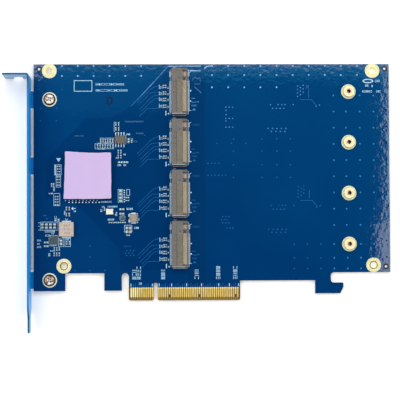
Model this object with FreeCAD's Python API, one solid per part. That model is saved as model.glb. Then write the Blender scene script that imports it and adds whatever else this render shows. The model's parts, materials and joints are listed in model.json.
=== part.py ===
import FreeCAD, Part
import math
import os

# A full-height, half-length expansion card that carries four M.2 drives.
#
# Frame: X along the card, away from its bracket. Y from the insertion edge to the top edge.
# Z out of the component side. The origin is the middle of the edge connector's key notch,
# on the insertion edge, half way through the board. All sizes are millimetres.

V = FreeCAD.Vector

# Board
BOARD_LENGTH = 167.65
BOARD_HEIGHT = 111.15
BOARD_THICKNESS = 1.57
KEY_TO_BRACKET_EDGE = 57.15
LOWER_EDGE_Y = 12.8

# Rounded slot ends keep this much flat between their two quarter turns
ROUND_END_FLAT = 0.01

# Edge connector
EDGE_PITCH = 1.0
SHORT_ROW_PINS = 11
LONG_ROW_PINS = 38
KEY_TO_PIN = 1.5
ROW_END_MARGIN = 1.1
KEY_WIDTH = 1.9
KEY_DEPTH = 8.25
BEVEL_LENGTH = 1.5
BEVEL_ANGLE = 20.0
CONNECTOR_CHAMFER = 0.5
FINGER_WIDTH = 0.7
FINGER_TOP_Y = 6.0
FINGER_THICKNESS = 0.05
SHORT_FINGER_LOSS = 1.3
COMPONENT_SIDE_SHORT_PINS = (17, 31, 48)
SOLDER_SIDE_SHORT_PINS = (1,)

# Feet, locking slot and hook along the lower edge
FOOT_WIDTH = 14.85
FOOT_BOTTOM_Y = 4.5
LATCH_NOTCH_WIDTH = 18.2
LEG_WIDTH = 8.2
LEG_BOTTOM_Y = 4.6
MIDDLE_EDGE_Y = 9.1
HOOK_LEFT_GAP = 35.4
HOOK_LENGTH = 13.3
HOOK_BOTTOM_Y = 2.95
HOOK_ARM_TOP_Y = 8.0
HOOK_SLOT_LENGTH = 5.9
HOOK_SLOT_RADIUS = 1.4
HOOK_CHAMFER_X = 1.5
HOOK_CHAMFER_Y = 2.9

# Holes in the board
COVER_HOLE_RADIUS = 1.6
COVER_HOLE_INSET_LEFT = 7.4
COVER_HOLE_INSET_RIGHT = 7.85
COVER_HOLE_INSET_TOP = 3.1
COVER_HOLE_LOWER_INSET_LEFT = 14.15
COVER_HOLE_LOWER_Y = 16.2

# Bracket, a sheet folded in one piece
SHEET = 0.86
BRACKET_WIDTH = 18.42
BRACKET_HEIGHT = 120.3
BRACKET_TOP_Y = 105.5
BRACKET_TO_BOARD = 1.2
BRACKET_BELOW_SOLDER_SIDE = 1.26
BEND_RADIUS = 0.5
TOP_TAB_LENGTH = 11.43
SCREW_NOTCH_WIDTH = 4.42
SCREW_NOTCH_FROM_PLATE = 5.08
SCREW_NOTCH_DEPTH = 7.2
TONGUE_WIDTH = 10.19
TONGUE_LENGTH = 7.2
TONGUE_CORNER_RADIUS = 1.5

# Bracket's board tabs and the two screws
TAB_WIDTH = 8.0
TAB_REACH_PAST_SCREW = 3.8
TAB_CORNER_CUT = 1.2
TAB_RELIEF = 0.8
SCREW_FROM_BOARD_EDGE = 7.5
SCREW_YS = (94.6, 9.6)
PLAIN_TAB_Y = 63.4
SCREW_HOLE_RADIUS = 1.6
SCREW_SHANK_RADIUS = 1.45
SCREW_THREAD_CLEARANCE = 0.05
SCREW_LENGTH = 2.8
SCREW_HEAD_RADIUS = 2.8
SCREW_HEAD_HEIGHT = 1.6
SCREW_HEAD_RIM = 0.7
SCREW_CROWN_RADIUS = 2.1
RECESS_LENGTH = 2.3
RECESS_WIDTH = 0.6
RECESS_DEPTH = 0.95
RECESS_TURN = 35

# M.2 module that the sockets and standoffs are made for
MODULE_LENGTH = 80.0
MODULE_THICKNESS = 0.8
MODULE_FINGER_WIDTH = 19.85
MODULE_PITCH_Y = 24.0
FIRST_MODULE_Y = 98.1
MODULE_COUNT = 4

# Standoffs
STANDOFF_X = 91.3
STANDOFF_HEIGHT = 2.45
STANDOFF_RADIUS = 2.5
STANDOFF_SHANK_RADIUS = 1.6
STANDOFF_SHANK_CLEARANCE = 0.1
STANDOFF_TAP_RADIUS = 0.8

# M.2 socket: A runs from the seated end of the module to the mouth, B across, C up
SOCKET_LENGTH = 21.9
SOCKET_BACK = 3.6
SOCKET_LIP = 3.9
SOCKET_ROOF_EDGE = 1.5
SOCKET_LIP_HEIGHT = 1.5
SOCKET_LIP_WIDTH = 0.5
SOCKET_PICKUP_WIDTH = 2.2
SOCKET_ROOF_STEP = 0.2
SOCKET_ROOF_THICKNESS = 0.6
SOCKET_MOUTH_CHAMFER = 0.2
SOCKET_SIDE_GAP = 0.1
MODULE_GAP_BELOW = 0.05
MODULE_GAP_ABOVE = 0.1
SPRING_ROOM = 0.25
END_WALL_FRONT_HEIGHT = 2.2
KEY_RIB_WIDTH = 1.15
KEY_RIB_OFFSET = 6.125

# M.2 contacts
CONTACT_PITCH = 0.5
CONTACT_WIDTH = 0.22
CONTACT_THICKNESS = 0.13
CONTACT_FOOT = 0.85
UPPER_BEAM_END_A = 1.1
UPPER_PINS = tuple(range(1, 76, 2))
LOWER_PINS = tuple(range(2, 75, 2))
MIDDLE_PIN = 38
KEYED_PINS = range(59, 67)

# M.2 hold-downs
HOLD_DOWN_SHEET = 0.2
HOLD_DOWN_FOOT = 0.45
HOLD_DOWN_HEIGHT = 2.2
HOLD_DOWN_END_GAP = 0.5

# Switch chip under its thermal pad
CHIP_X = -31.7
CHIP_Y = 58.75
CHIP_SIZE = 19.0
SUBSTRATE_THICKNESS = 1.0
LID_SIZE = 17.0
LID_THICKNESS = 1.1
LID_CORNER_CUT = 1.0
PAD_LENGTH = 21.7
PAD_WIDTH = 21.9
PAD_THICKNESS = 1.5

# Moulded parts: x, y, size along X, size along Y, height
POWER_INDUCTOR = (-41.8, 33.4, 6.9, 7.0, 3.0)
SMALL_INDUCTOR = (-10.3, 38.6, 3.2, 4.0, 1.9)
INDUCTOR_BEVEL_SHARE = 0.1
INDUCTOR_TERMINAL_WIDTH_SHARE = 0.55
INDUCTOR_TERMINAL_HEIGHT_SHARE = 0.6
INDUCTOR_TERMINAL_THICKNESS = 0.15
REGULATOR = (-47.8, 28.4, 3.9, 4.0, 0.9)
SMALL_REGULATOR = (-15.55, 38.6, 2.0, 2.0, 0.75)
CRYSTAL = (-21.55, 41.7, 3.2, 2.5, 0.45)
CRYSTAL_LID_THICKNESS = 0.25
CRYSTAL_LID_MARGIN = 0.3

# Eight-lead memory chip
MEMORY_X = -16.65
MEMORY_Y = 75.55
MEMORY_LENGTH = 4.9
MEMORY_WIDTH = 3.9
MEMORY_HEIGHT = 1.35
MEMORY_STAND = 0.15
MEMORY_DRAFT = 0.15
LEAD_COUNT = 4
LEAD_PITCH = 1.27
LEAD_WIDTH = 0.42
LEAD_THICKNESS = 0.2
LEAD_SPAN = 6.0
LEAD_FOOT = 0.6

# Chip capacitors and resistors: length, width, height
CAP_0402 = (1.0, 0.5, 0.5)
CAP_0603 = (1.6, 0.8, 0.8)
CAP_0805 = (2.0, 1.25, 1.1)
RES_0402 = (1.0, 0.5, 0.35)

# Rows of small parts: first x, first y, columns, rows, step along X, step along Y
SUPPLY_INPUT_0805_UPRIGHT = (-53.1, 35.0, 4, 1, 1.95, 0)
SUPPLY_OUTPUT_0805_UPRIGHT = (-44.3, 27.4, 1, 1, 0, 0)
CORE_0805_UPRIGHT = (-16.4, 47.4, 1, 2, 0, 3.2)
CORE_0805 = (-12.7, 32.2, 1, 2, 0, 1.75)
CORE_0603 = (-15.8, 40.7, 1, 2, 0, 2.1)
SUPPLY_0603 = (-51.3, 25.6, 1, 2, 0, 1.75)
CHIP_0603 = (-16.45, 64.9, 2, 1, 2.5, 0)
MEMORY_0603_UPRIGHT = (-12.55, 75.1, 1, 1, 0, 0)

MEMORY_ROW_CAPS = (-25.65, 75.1, 6, 1, 1.11, 0)
MEMORY_ABOVE_CAPS = (-18.5, 80.6, 2, 2, 1.3, 2.35)
CHIP_LEFT_CAPS = (-45.5, 54.2, 1, 4, 0, 1.3)
CHIP_BELOW_CAPS = (-41.8, 40.4, 2, 2, 1.35, 2.8)
CRYSTAL_LEFT_CAP = (-23.95, 42.9, 1, 1, 0, 0)
CRYSTAL_RIGHT_CAP = (-18.35, 40.6, 1, 1, 0, 0)
CORE_CAPS = (-13.2, 46.9, 1, 2, 0, 1.4)
CORE_LOWER_CAP = (-12.9, 30.6, 1, 1, 0, 0)

MEMORY_ROW_RESISTORS = (-27.1, 72.45, 7, 1, 1.19, 0)
MEMORY_BELOW_RESISTORS = (-17.4, 67.6, 2, 2, 1.25, 2.3)
CHIP_LEFT_RESISTORS = (-45.5, 59.4, 1, 4, 0, 1.2)
CHIP_LEFT_RESISTOR_PAIR = (-48.7, 54.25, 2, 1, 0.95, 0)
CHIP_LOWER_LEFT_RESISTORS = (-46.4, 45.1, 1, 4, 0, 1.25)
CHIP_LOWER_LEFT_RESISTOR = (-49.1, 50.3, 1, 1, 0, 0)
SUPPLY_RESISTORS = (-47.5, 21.75, 3, 2, 1.17, 2.5)
INDUCTOR_RESISTORS = (-41.6, 27.15, 2, 1, 1.2, 0)
CORE_RESISTORS = (-21.1, 36.6, 4, 1, 2.1, 0)

# Coupling capacitors stand in pairs beside each socket
COUPLING_X = 4.5
COUPLING_FIRST_Y = 2.55
COUPLING_PAIR_PITCH = 3.12
COUPLING_PAIRS = 4
COUPLING_ROW_PITCH = 1.0

# Places that follow from the sizes above
TOP = BOARD_THICKNESS / 2
BOTTOM = -TOP
BOARD_LEFT = -KEY_TO_BRACKET_EDGE
BOARD_RIGHT = BOARD_LEFT + BOARD_LENGTH
SCREW_X = BOARD_LEFT + SCREW_FROM_BOARD_EDGE
PLATE_INNER_X = BOARD_LEFT - BRACKET_TO_BOARD
PLATE_OUTER_X = PLATE_INNER_X - SHEET
BRACKET_BACK_Z = BOTTOM - BRACKET_BELOW_SOLDER_SIDE
BRACKET_FRONT_Z = BRACKET_BACK_Z + BRACKET_WIDTH
CONNECTOR_LEFT = -(KEY_TO_PIN + (SHORT_ROW_PINS - 1) * EDGE_PITCH + ROW_END_MARGIN)
CONNECTOR_RIGHT = KEY_TO_PIN + (LONG_ROW_PINS - 1) * EDGE_PITCH + ROW_END_MARGIN
SEAT_X = STANDOFF_X - MODULE_LENGTH
MODULE_YS = tuple(FIRST_MODULE_Y - i * MODULE_PITCH_Y for i in range(MODULE_COUNT))
SLOT_BOTTOM = STANDOFF_HEIGHT - MODULE_GAP_BELOW
SLOT_TOP = STANDOFF_HEIGHT + MODULE_THICKNESS + MODULE_GAP_ABOVE
SOCKET_ROOF_BOTTOM = SLOT_TOP + SPRING_ROOM
SOCKET_HEIGHT = SOCKET_ROOF_BOTTOM + SOCKET_ROOF_THICKNESS
SLOT_HALF = MODULE_FINGER_WIDTH / 2 + SOCKET_SIDE_GAP
SOCKET_HALF = SOCKET_LENGTH / 2
COVER_HOLES = (
    (BOARD_LEFT + COVER_HOLE_INSET_LEFT, BOARD_HEIGHT - COVER_HOLE_INSET_TOP),
    (BOARD_RIGHT - COVER_HOLE_INSET_RIGHT, BOARD_HEIGHT - COVER_HOLE_INSET_TOP),
    (BOARD_LEFT + COVER_HOLE_LOWER_INSET_LEFT, COVER_HOLE_LOWER_Y),
    (BOARD_RIGHT - COVER_HOLE_INSET_RIGHT, COVER_HOLE_LOWER_Y),
)


def on_xy(a, b):
    return V(a, b, 0)


def on_xz(a, b):
    return V(a, 0, b)


def on_yz(a, b):
    return V(0, a, b)


def on_zy(a, b):
    return V(0, b, a)


def outline(corners, plane=on_xy):
    """The face inside straight runs between (a, b, radius) corners, each turned by a tangent arc."""
    points = [plane(corner[0], corner[1]) for corner in corners]
    turns = []
    for i, corner in enumerate(corners):
        radius = corner[2] if len(corner) > 2 else 0
        here = points[i]
        back = (points[i - 1] - here).normalize()
        ahead = (points[(i + 1) % len(points)] - here).normalize()
        half = back.getAngle(ahead) / 2
        reach = radius / math.tan(half)
        middle = (back + ahead).normalize() * (radius / math.sin(half) - radius)
        turns.append((here + back * reach, here + middle, here + ahead * reach, radius))
    edges = []
    for i, (start, middle, end, radius) in enumerate(turns):
        if radius:
            edges.append(Part.Arc(start, middle, end).toShape())
        following = turns[(i + 1) % len(turns)][0]
        if end.distanceToPoint(following) > 1e-4:
            edges.append(Part.LineSegment(end, following).toShape())
    return Part.Face(Part.Wire(edges))


def box(x0, x1, y0, y1, z0, z1):
    return Part.makeBox(x1 - x0, y1 - y0, z1 - z0, V(x0, y0, z0))


def cylinder(x, y, radius, z0, z1):
    return Part.makeCylinder(radius, z1 - z0, V(x, y, z0))


def turned(profile):
    """A solid of revolution about Z from (radius, z) corners."""
    points = [V(r, 0, z) for r, z in profile]
    wire = Part.makePolygon(points + points[:1])
    return Part.Face(wire).revolve(V(0, 0, 0), V(0, 0, 1), 360)


def group(shapes):
    return Part.makeCompound(shapes)


# Board and its edge contacts


def board_outline():
    """Clockwise from the top edge's bracket end."""
    foot_right = BOARD_LEFT + FOOT_WIDTH
    leg_left = foot_right + LATCH_NOTCH_WIDTH
    leg_right = leg_left + LEG_WIDTH
    slot_radius = (CONNECTOR_LEFT - leg_right) / 2 - ROUND_END_FLAT
    key_half = KEY_WIDTH / 2
    key_radius = key_half - ROUND_END_FLAT
    hook_left = CONNECTOR_RIGHT + HOOK_LEFT_GAP
    hook_right = hook_left + HOOK_LENGTH
    hook_slot = hook_right - HOOK_SLOT_LENGTH
    return outline(
        [
            (BOARD_LEFT, BOARD_HEIGHT),
            (BOARD_RIGHT, BOARD_HEIGHT),
            (BOARD_RIGHT, LOWER_EDGE_Y),
            (hook_slot, LOWER_EDGE_Y, HOOK_SLOT_RADIUS),
            (hook_slot, HOOK_ARM_TOP_Y, HOOK_SLOT_RADIUS),
            (hook_right, HOOK_ARM_TOP_Y),
            (hook_right, HOOK_BOTTOM_Y + HOOK_CHAMFER_Y),
            (hook_right - HOOK_CHAMFER_X, HOOK_BOTTOM_Y),
            (hook_left, HOOK_BOTTOM_Y),
            (hook_left, MIDDLE_EDGE_Y),
            (CONNECTOR_RIGHT, MIDDLE_EDGE_Y),
            (CONNECTOR_RIGHT, CONNECTOR_CHAMFER),
            (CONNECTOR_RIGHT - CONNECTOR_CHAMFER, 0),
            (key_half + CONNECTOR_CHAMFER, 0),
            (key_half, CONNECTOR_CHAMFER),
            (key_half, KEY_DEPTH, key_radius),
            (-key_half, KEY_DEPTH, key_radius),
            (-key_half, CONNECTOR_CHAMFER),
            (-key_half - CONNECTOR_CHAMFER, 0),
            (CONNECTOR_LEFT + CONNECTOR_CHAMFER, 0),
            (CONNECTOR_LEFT, CONNECTOR_CHAMFER),
            (CONNECTOR_LEFT, LOWER_EDGE_Y, slot_radius),
            (leg_right, LOWER_EDGE_Y, slot_radius),
            (leg_right, LEG_BOTTOM_Y),
            (leg_left, LEG_BOTTOM_Y),
            (leg_left, LOWER_EDGE_Y),
            (foot_right, LOWER_EDGE_Y),
            (foot_right, FOOT_BOTTOM_Y),
            (BOARD_LEFT, FOOT_BOTTOM_Y),
        ]
    )


def bevel_wedge(face_z):
    """What the insertion edge's bevel takes off on one face."""
    depth = BEVEL_LENGTH * math.tan(math.radians(BEVEL_ANGLE))
    inwards = -math.copysign(depth, face_z)
    wedge = outline([(0, face_z), (BEVEL_LENGTH, face_z), (0, face_z + inwards)], on_yz)
    wedge.translate(V(CONNECTOR_LEFT - 1, 0, 0))
    return wedge.extrude(V(CONNECTOR_RIGHT - CONNECTOR_LEFT + 2, 0, 0))


def pcb():
    face = board_outline()
    face.translate(V(0, 0, BOTTOM))
    board = face.extrude(V(0, 0, BOARD_THICKNESS))
    drills = [(x, y, COVER_HOLE_RADIUS) for x, y in COVER_HOLES]
    drills += [(SCREW_X, y, SCREW_HOLE_RADIUS) for y in SCREW_YS]
    drills += [(STANDOFF_X, y, STANDOFF_SHANK_RADIUS + STANDOFF_SHANK_CLEARANCE) for y in MODULE_YS]
    cuts = [cylinder(x, y, radius, BOTTOM - 1, TOP + 1) for x, y, radius in drills]
    cuts += [bevel_wedge(TOP), bevel_wedge(BOTTOM)]
    return board.cut(group(cuts))


def edge_contacts(face_z, short_pins):
    """One gold finger for each pin of both rows, numbered from the bracket's end."""
    z0, z1 = sorted((face_z, face_z + math.copysign(FINGER_THICKNESS, face_z)))
    fingers = []
    for pin in range(1, SHORT_ROW_PINS + LONG_ROW_PINS + 1):
        if pin <= SHORT_ROW_PINS:
            x = -KEY_TO_PIN - (SHORT_ROW_PINS - pin) * EDGE_PITCH
        else:
            x = KEY_TO_PIN + (pin - SHORT_ROW_PINS - 1) * EDGE_PITCH
        low = BEVEL_LENGTH + (SHORT_FINGER_LOSS if pin in short_pins else 0)
        half = FINGER_WIDTH / 2
        fingers.append(box(x - half, x + half, low, FINGER_TOP_Y, z0, z1))
    return group(fingers)


# Bracket and its screws


def bracket_side_profile():
    """Plate, bend and top tab, as seen along the bracket's width."""
    tongue_tip = BRACKET_TOP_Y - BRACKET_HEIGHT
    outer_bend = BEND_RADIUS + SHEET
    tab_end = PLATE_OUTER_X - TOP_TAB_LENGTH
    return outline(
        [
            (PLATE_INNER_X, tongue_tip),
            (PLATE_INNER_X, BRACKET_TOP_Y, outer_bend),
            (tab_end, BRACKET_TOP_Y),
            (tab_end, BRACKET_TOP_Y - SHEET),
            (PLATE_OUTER_X, BRACKET_TOP_Y - SHEET, BEND_RADIUS),
            (PLATE_OUTER_X, tongue_tip),
        ]
    )


def bracket_front_outline():
    """The plate's outline across its width, with the shoulders and the tongue at its foot."""
    tip = BRACKET_TOP_Y - BRACKET_HEIGHT
    middle = (BRACKET_BACK_Z + BRACKET_FRONT_Z) / 2
    half = TONGUE_WIDTH / 2
    neck = tip + TONGUE_LENGTH
    shoulder = neck + (BRACKET_WIDTH - TONGUE_WIDTH) / 2
    above = BRACKET_TOP_Y + 1
    return outline(
        [
            (BRACKET_BACK_Z, above),
            (BRACKET_FRONT_Z, above),
            (BRACKET_FRONT_Z, shoulder),
            (middle + half, neck),
            (middle + half, tip, TONGUE_CORNER_RADIUS),
            (middle - half, tip, TONGUE_CORNER_RADIUS),
            (middle - half, neck),
            (BRACKET_BACK_Z, shoulder),
        ],
        on_zy,
    )


def top_tab_cut():
    """The screw notch, open towards the solder side."""
    notch_x = PLATE_OUTER_X - SCREW_NOTCH_FROM_PLATE
    half = SCREW_NOTCH_WIDTH / 2
    below = BRACKET_TOP_Y - SHEET - 1
    notch = outline(
        [
            (notch_x - half, BRACKET_BACK_Z - 1),
            (notch_x + half, BRACKET_BACK_Z - 1),
            (notch_x + half, BRACKET_BACK_Z + SCREW_NOTCH_DEPTH, half - ROUND_END_FLAT),
            (notch_x - half, BRACKET_BACK_Z + SCREW_NOTCH_DEPTH, half - ROUND_END_FLAT),
        ],
        on_xz,
    )
    notch.translate(V(0, below, 0))
    return notch.extrude(V(0, SHEET + 2, 0))


def board_tab(y, tapped):
    """A lug folded off the plate's edge to lie under the board, as an L seen along Y."""
    half = TAB_WIDTH / 2
    end_x = SCREW_X + TAB_REACH_PAST_SCREW
    low = BOTTOM - SHEET
    side = outline(
        [
            (PLATE_OUTER_X, low, BEND_RADIUS + SHEET),
            (end_x, low),
            (end_x, BOTTOM),
            (PLATE_INNER_X, BOTTOM, BEND_RADIUS),
            (PLATE_INNER_X, TOP + BEND_RADIUS),
            (PLATE_OUTER_X, TOP + BEND_RADIUS),
        ],
        on_xz,
    )
    side.translate(V(0, y - half, 0))
    lug = side.extrude(V(0, TAB_WIDTH, 0))
    plan = outline(
        [
            (PLATE_OUTER_X - 1, y - half),
            (end_x - TAB_CORNER_CUT, y - half),
            (end_x, y - half + TAB_CORNER_CUT),
            (end_x, y + half - TAB_CORNER_CUT),
            (end_x - TAB_CORNER_CUT, y + half),
            (PLATE_OUTER_X - 1, y + half),
        ]
    )
    plan.translate(V(0, 0, low - 1))
    lug = lug.common(plan.extrude(V(0, 0, SHEET + BOARD_THICKNESS + 3)))
    if tapped:
        hole_radius = SCREW_SHANK_RADIUS + SCREW_THREAD_CLEARANCE
        lug = lug.cut(cylinder(SCREW_X, y, hole_radius, low - 1, BOTTOM + 1))
    return lug


def tab_relief(y):
    """The window in the plate's edge that frees a lug for folding."""
    half = TAB_WIDTH / 2 + TAB_RELIEF
    x0, x1 = PLATE_OUTER_X - 1, PLATE_INNER_X + 1
    return box(x0, x1, y - half, y + half, BRACKET_BACK_Z - 1, TOP)


def bracket():
    side = bracket_side_profile()
    side.translate(V(0, 0, BRACKET_BACK_Z))
    sheet = side.extrude(V(0, 0, BRACKET_WIDTH))
    front = bracket_front_outline()
    front.translate(V(PLATE_OUTER_X - TOP_TAB_LENGTH - 1, 0, 0))
    sheet = sheet.common(front.extrude(V(TOP_TAB_LENGTH + SHEET + 2, 0, 0)))
    tabs = [(y, True) for y in SCREW_YS] + [(PLAIN_TAB_Y, False)]
    sheet = sheet.cut(group([top_tab_cut()] + [tab_relief(y) for y, _ in tabs]))
    return sheet.fuse([board_tab(y, tapped) for y, tapped in tabs]).removeSplitter()


def bracket_screw(y):
    """A pan-head machine screw with a crossed recess."""
    rim = SCREW_HEAD_RIM
    crown = SCREW_HEAD_HEIGHT
    profile = [(0, -SCREW_LENGTH), (SCREW_SHANK_RADIUS, -SCREW_LENGTH), (SCREW_SHANK_RADIUS, 0)]
    profile += [(SCREW_HEAD_RADIUS, 0), (SCREW_HEAD_RADIUS, rim)]
    profile += [(SCREW_CROWN_RADIUS, crown), (0, crown)]
    screw = turned(profile)
    half, arm = RECESS_WIDTH / 2, RECESS_LENGTH / 2
    floor = crown - RECESS_DEPTH
    slot = box(-arm, arm, -half, half, floor, crown + 1)
    cross = slot.fuse(box(-half, half, -arm, arm, floor, crown + 1))
    cross.rotate(V(0, 0, 0), V(0, 0, 1), RECESS_TURN)
    screw = screw.cut(cross)
    screw.translate(V(SCREW_X, y, TOP))
    return screw


# M.2 sockets and standoffs


def prism_b(corners, b0, b1):
    """A profile in the socket's A-C plane, run across it from b0 to b1."""
    face = outline(corners, on_xz)
    face.translate(V(0, b0, 0))
    return face.extrude(V(0, b1 - b0, 0))


def place_socket(shape, y):
    shape.translate(V(SEAT_X, y, TOP))
    return shape


def socket_base():
    """The floor, the lower jaw with its lip, and the wall behind the module's end."""
    jaw_a = SOCKET_LIP - SOCKET_LIP_WIDTH
    return prism_b(
        [
            (-SOCKET_BACK, 0),
            (SOCKET_LIP, 0),
            (SOCKET_LIP, SOCKET_LIP_HEIGHT),
            (jaw_a, SOCKET_LIP_HEIGHT),
            (SOCKET_ROOF_EDGE, SLOT_BOTTOM),
            (0, SLOT_BOTTOM),
            (0, SLOT_TOP),
            (-SOCKET_BACK, SLOT_TOP),
        ],
        -SLOT_HALF,
        SLOT_HALF,
    )


def socket_roof():
    """The upper jaw, with a raised band at the back for a pick-up nozzle."""
    step_a = SOCKET_PICKUP_WIDTH - SOCKET_BACK
    lower_roof = SOCKET_HEIGHT - SOCKET_ROOF_STEP
    return prism_b(
        [
            (-SOCKET_BACK, SOCKET_ROOF_BOTTOM),
            (SOCKET_ROOF_EDGE - SOCKET_MOUTH_CHAMFER, SOCKET_ROOF_BOTTOM),
            (SOCKET_ROOF_EDGE, SOCKET_ROOF_BOTTOM + SOCKET_MOUTH_CHAMFER),
            (SOCKET_ROOF_EDGE, lower_roof),
            (step_a, lower_roof),
            (step_a - SOCKET_ROOF_STEP, SOCKET_HEIGHT),
            (-SOCKET_BACK, SOCKET_HEIGHT),
        ],
        -SLOT_HALF,
        SLOT_HALF,
    )


def socket_end_wall(side):
    corners = [
        (-SOCKET_BACK, 0),
        (SOCKET_LIP, 0),
        (SOCKET_LIP, END_WALL_FRONT_HEIGHT),
        (SOCKET_ROOF_EDGE, SOCKET_HEIGHT - SOCKET_ROOF_STEP),
        (SOCKET_PICKUP_WIDTH - SOCKET_BACK, SOCKET_HEIGHT),
        (-SOCKET_BACK, SOCKET_HEIGHT),
    ]
    return prism_b(corners, *sorted((side * SLOT_HALF, side * SOCKET_HALF)))


def socket_housing(y):
    """One moulding: base, roof, end walls and the key rib that stands in the module's notch."""
    rib_half = KEY_RIB_WIDTH / 2
    rib = box(
        0,
        SOCKET_ROOF_EDGE,
        KEY_RIB_OFFSET - rib_half,
        KEY_RIB_OFFSET + rib_half,
        SLOT_BOTTOM,
        SOCKET_ROOF_BOTTOM + SOCKET_MOUTH_CHAMFER,
    )
    shell = socket_base().fuse([socket_roof(), socket_end_wall(-1), socket_end_wall(1), rib])
    return place_socket(shell.removeSplitter(), y)


def contact_places(pins):
    return [(pin - MIDDLE_PIN) * CONTACT_PITCH / 2 for pin in pins if pin not in KEYED_PINS]


def upper_contacts(y):
    """Foot, riser up the socket's back, and beam forward under its roof."""
    t = CONTACT_THICKNESS
    back = -SOCKET_BACK
    beam_top = SOCKET_ROOF_BOTTOM
    corners = [
        (back - CONTACT_FOOT, 0),
        (back, 0),
        (back, beam_top - t),
        (UPPER_BEAM_END_A, beam_top - t),
        (UPPER_BEAM_END_A, beam_top),
        (back - t, beam_top),
        (back - t, t),
        (back - CONTACT_FOOT, t),
    ]
    half = CONTACT_WIDTH / 2
    springs = [prism_b(corners, b - half, b + half) for b in contact_places(UPPER_PINS)]
    return place_socket(group(springs), y)


def lower_tails(y):
    """The tails that come out flat on the board in front of the lip."""
    tip = SOCKET_LIP + CONTACT_FOOT
    half = CONTACT_WIDTH / 2
    tails = [
        box(SOCKET_LIP, tip, b - half, b + half, 0, CONTACT_THICKNESS)
        for b in contact_places(LOWER_PINS)
    ]
    return place_socket(group(tails), y)


def hold_downs(y):
    """An L-shaped clip at each end of the socket, soldered to the board by its foot."""
    t = HOLD_DOWN_SHEET
    clips = []
    for side in (-1, 1):
        wall = side * SOCKET_HALF
        corners = [
            (wall, 0),
            (wall + side * (t + HOLD_DOWN_FOOT), 0),
            (wall + side * (t + HOLD_DOWN_FOOT), t),
            (wall + side * t, t),
            (wall + side * t, HOLD_DOWN_HEIGHT),
            (wall, HOLD_DOWN_HEIGHT),
        ]
        face = outline(corners, on_yz)
        face.translate(V(HOLD_DOWN_END_GAP - SOCKET_BACK, 0, 0))
        clips.append(face.extrude(V(SOCKET_BACK + SOCKET_LIP - 2 * HOLD_DOWN_END_GAP, 0, 0)))
    return place_socket(group(clips), y)


def standoff(y):
    """A tapped spacer whose shank is soldered into the board."""
    tip = -BOARD_THICKNESS
    post = turned(
        [
            (STANDOFF_TAP_RADIUS, tip),
            (STANDOFF_SHANK_RADIUS, tip),
            (STANDOFF_SHANK_RADIUS, 0),
            (STANDOFF_RADIUS, 0),
            (STANDOFF_RADIUS, STANDOFF_HEIGHT),
            (STANDOFF_TAP_RADIUS, STANDOFF_HEIGHT),
        ]
    )
    post.translate(V(STANDOFF_X, y, TOP))
    return post


# Switch chip


def chip_substrate():
    """The chip's carrier, soldered down over its whole underside."""
    return flat_package((CHIP_X, CHIP_Y, CHIP_SIZE, CHIP_SIZE, SUBSTRATE_THICKNESS))


def chip_lid():
    """A pressed metal lid with cut corners."""
    z0 = TOP + SUBSTRATE_THICKNESS
    half = LID_SIZE / 2
    cut = half - LID_CORNER_CUT
    octagon = [(-half, -cut), (-cut, -half), (cut, -half), (half, -cut)]
    octagon += [(half, cut), (cut, half), (-cut, half), (-half, cut)]
    face = outline([(CHIP_X + a, CHIP_Y + b) for a, b in octagon])
    face.translate(V(0, 0, z0))
    return face.extrude(V(0, 0, LID_THICKNESS))


def thermal_pad():
    """A soft pad laid over the lid, larger than the chip below it."""
    pad = flat_package((CHIP_X, CHIP_Y, PAD_LENGTH, PAD_WIDTH, PAD_THICKNESS))
    pad.translate(V(0, 0, SUBSTRATE_THICKNESS + LID_THICKNESS))
    return pad


# Smaller parts


def inductor_body(place):
    """A pressed block, its upper edges bevelled."""
    x, y, length, width, height = place
    t = INDUCTOR_TERMINAL_THICKNESS
    block = box(x - length / 2, x + length / 2, y - width / 2 + t, y + width / 2 - t, TOP, TOP + height)
    upper = [edge for edge in block.Edges if edge.CenterOfMass.z > TOP + height - 1e-3]
    return block.makeChamfer(height * INDUCTOR_BEVEL_SHARE, upper)


def inductor_terminals(place):
    """A tin clip up each end of the block."""
    x, y, length, width, height = place
    t = INDUCTOR_TERMINAL_THICKNESS
    half = length * INDUCTOR_TERMINAL_WIDTH_SHARE / 2
    top = TOP + height * INDUCTOR_TERMINAL_HEIGHT_SHARE
    return [
        box(x - half, x + half, y - width / 2, y - width / 2 + t, TOP, top),
        box(x - half, x + half, y + width / 2 - t, y + width / 2, TOP, top),
    ]


def flat_package(place):
    x, y, length, width, height = place
    return box(x - length / 2, x + length / 2, y - width / 2, y + width / 2, TOP, TOP + height)


def crystal():
    """A ceramic tray closed by a metal lid, as one sealed can."""
    x, y, length, width, height = CRYSTAL
    m = CRYSTAL_LID_MARGIN
    lid = box(
        x - length / 2 + m,
        x + length / 2 - m,
        y - width / 2 + m,
        y + width / 2 - m,
        TOP + height,
        TOP + height + CRYSTAL_LID_THICKNESS,
    )
    return flat_package(CRYSTAL).fuse(lid)


def memory_body():
    """A moulded body that narrows a little above and below the line of its leads."""
    low = TOP + MEMORY_STAND
    middle = low + MEMORY_HEIGHT / 2

    def level(z, inset):
        half_length, half_width = MEMORY_LENGTH / 2 - inset, MEMORY_WIDTH / 2 - inset
        return Part.makePolygon(
            [
                V(MEMORY_X + sx * half_length, MEMORY_Y + sy * half_width, z)
                for sx, sy in ((-1, -1), (1, -1), (1, 1), (-1, 1), (-1, -1))
            ]
        )

    levels = [level(low, MEMORY_DRAFT), level(middle, 0), level(low + MEMORY_HEIGHT, MEMORY_DRAFT)]
    return Part.makeLoft(levels, True, True)


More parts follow.
